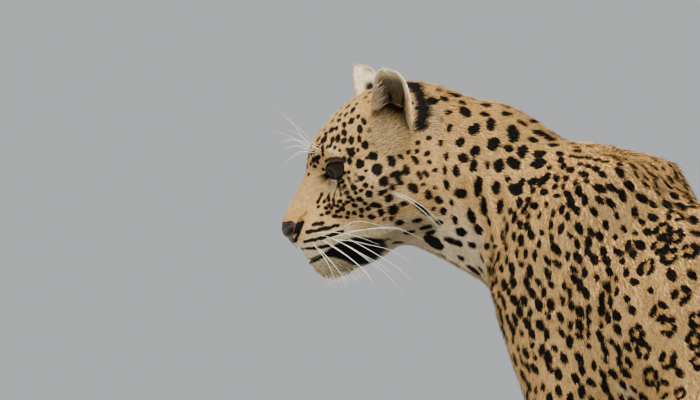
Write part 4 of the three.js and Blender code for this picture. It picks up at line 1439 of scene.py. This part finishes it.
def in_front(px, py, root, gap):
    """The point that shows at a pixel and lies a gap in millimetres nearer the camera than a root."""
    eye_point, way = sight(px, py)
    return eye_point + way * ((gap * MM - (eye_point - root) @ view_back) / (way @ view_back))


WHISKERS = [
    [(342, 228.5), (352, 222.5), (363, 221.5), (378, 225), (394, 231)],
    [(345, 232), (365, 229.5), (385, 228), (402, 230), (424, 240)],
    [(330, 238), (348, 233), (368, 229), (392, 227), (410, 231)],
    [(333, 240), (352, 241), (370, 245), (390, 250), (412, 262)],
    [(346, 238), (364, 247), (381, 257), (398, 268), (412, 282)],
    [(340, 242), (356, 251), (372, 262), (388, 276), (404, 294)],
    [(334, 240), (348, 246), (362, 254), (378, 263), (396, 276)],
    [(329, 245), (341, 252), (352, 260), (364, 271), (374, 284)],
    [(322, 240), (336, 248), (350, 258), (362, 268), (372, 280)],
    [(318, 248), (326, 256), (334, 265), (342, 276), (347, 288)],
    [(325, 236), (338, 241), (352, 249), (366, 259), (380, 272)],
    [(316, 233), (330, 232), (346, 234), (362, 238), (380, 245)],
    [(312, 243), (320, 252), (327, 262), (332, 273), (335, 283)],
]
CHEEK_HAIRS = [
    [(392, 193), (402, 195), (416, 202), (432, 214), (447, 232)],
    [(394, 195), (404, 198), (418, 207), (432, 220), (443, 236)],
]
BROW_HAIRS = [
    [(319, 148.5), (312, 147), (304, 142), (295, 140), (286, 141), (278, 144)],
    [(318, 151.5), (311, 150), (305, 147), (299, 146), (292, 147), (286, 149)],
    [(317, 153.5), (309, 152), (302, 152), (296, 155), (290, 159), (285, 163)],
    [(321, 146.5), (314, 144), (307, 136), (300, 129), (292, 122), (283, 116)],
    [(320, 149.5), (313, 146), (306, 140), (299, 135), (292, 131), (286, 129)],
]


def hairs_from(paths, bulge):
    """Both sides' hairs from paths of pixels; bulge is how far they stand off toward the camera."""
    made = []
    for path in paths:
        hit = on_skin(*path[0])
        if hit is None:
            continue
        root = hit[0] - hit[1] * MM
        line = [root]
        for k, (x, y) in enumerate(path[1:], 1):
            line.append(in_front(x, y, root, bulge * (k / (len(path) - 1)) ** 0.6))
        line = bend(line, 12)
        made.append(line)
        mirror = in_head(line) * np.array([1.0, -1.0, 1.0])
        mirror[:, 1] -= 2.0
        mirror += np.linspace(0, 1, len(mirror))[:, None] * random.normal(0, 4.0, 3)
        other = HEAD_ORIGIN + MM * mirror @ HEAD_AXES
        made.append(other)
    return made


whiskers = hairs_from(WHISKERS, 34.0) + hairs_from(CHEEK_HAIRS, 22.0)
brow_hairs = hairs_from(BROW_HAIRS, 10.0)
thick = [0.33] * len(whiskers) + [0.2] * len(brow_hairs)
tubes("whiskers", whiskers + brow_hairs, thick, (0.80, 0.76, 0.66, 1))


def wisps(label, where, count, long, thick, way_of, colour):
    """Fine curved hairs that grow from chosen points of the skin."""
    roots = random.choice(np.flatnonzero(where), count)
    paths = []
    for k in roots:
        way, droop = way_of(k)
        size = random.uniform(0.65, 1.1) * long * MM
        start = surface.points[k] + random.normal(0, 0.8, 3) * MM
        steps = np.linspace(0, 1, 5)[:, None]
        paths.append(start + size * (way * steps + droop * steps**2))
    tubes(label, paths, random.uniform(0.7, 1.1, count) * thick, colour, sides=3)


def chin_way(k):
    way = unit(surface.normals[k] * 0.9 - 0.7 * head_up - 0.5 * head_forward + random.normal(0, 0.15, 3))
    return way, np.array([0, 0, -0.25])


def ear_way(k):
    sign = ear_side[k]
    local = ear_up * 0.75 + ear_across * 0.5 + ear_open * 0.45 + random.normal(0, 0.12, 3)
    way = local[0] * head_forward + sign * local[1] * head_left + local[2] * head_up
    back = -0.35 * head_forward
    return unit(way), back


chin_low = of_head & (near_ball((30, 0, -112), 22, 8) > 0.5) & (down > 0.1) & (mouth_away > 6)
wisps("chin_hair", chin_low, 170, 13.0, 0.32, chin_way, (0.80, 0.75, 0.63, 1))
front_rim = surface.ear & (ear_a < -12) & (ear_h < 58) & (faces_open > -0.1)
wisps("ear_hair", front_rim, 300, 13.0, 0.30, ear_way, (0.60, 0.47, 0.30, 1))


# Claws, sheathed but for their tips
CLAW_CURVE = np.array([(6, 0, 2), (0.5, 0, 1.6), (-3.5, 0, -1.6), (-5, 0, -5.5)]) * MM


def build_claws():
    paths = []
    for name in PAWS:
        front = paw_front(name)
        for k in range(4):
            y = front[1] + (k - 1.5) * toe_step(name)
            start = Vector((front[0] - 0.05, y, 0.013))
            hit = skin_tree.ray_cast(start, Vector((1, 0, 0)))
            if hit[0] is None:
                continue
            tip = np.array(hit[0])
            paths.append(bend([tip + step for step in CLAW_CURVE], 9))
    tubes("claws", paths, [2.3] * len(paths), (0.16, 0.13, 0.10, 1), sides=8)


build_claws()


# Floor and light
def make_stage():
    world = bpy.data.worlds.new("studio")
    bpy.context.scene.world = world
    world.use_nodes = True
    sky = world.node_tree.nodes["Background"]
    sky.inputs["Color"].default_value = (0.80, 0.82, 0.84, 1.0)
    sky.inputs["Strength"].default_value = 0.62
    bpy.ops.mesh.primitive_circle_add(vertices=96, radius=4.0, fill_type="NGON", location=(0, 0, 0))
    floor = bpy.context.object
    floor.name = "floor"


def lamp(name, place, size, power, colour=(1, 1, 1)):
    data = bpy.data.lights.new(name, "AREA")
    data.energy = power
    data.size = size
    data.color = colour
    made = object_from(name, data)
    made.location = place
    made.rotation_mode = "QUATERNION"
    made.rotation_quaternion = Vector(np.array(place) - view_centre).to_track_quat("Z", "Y")


make_stage()
lamp("key", (0.5, -0.7, 3.2), 1.6, 290.0, (1.0, 0.97, 0.92))
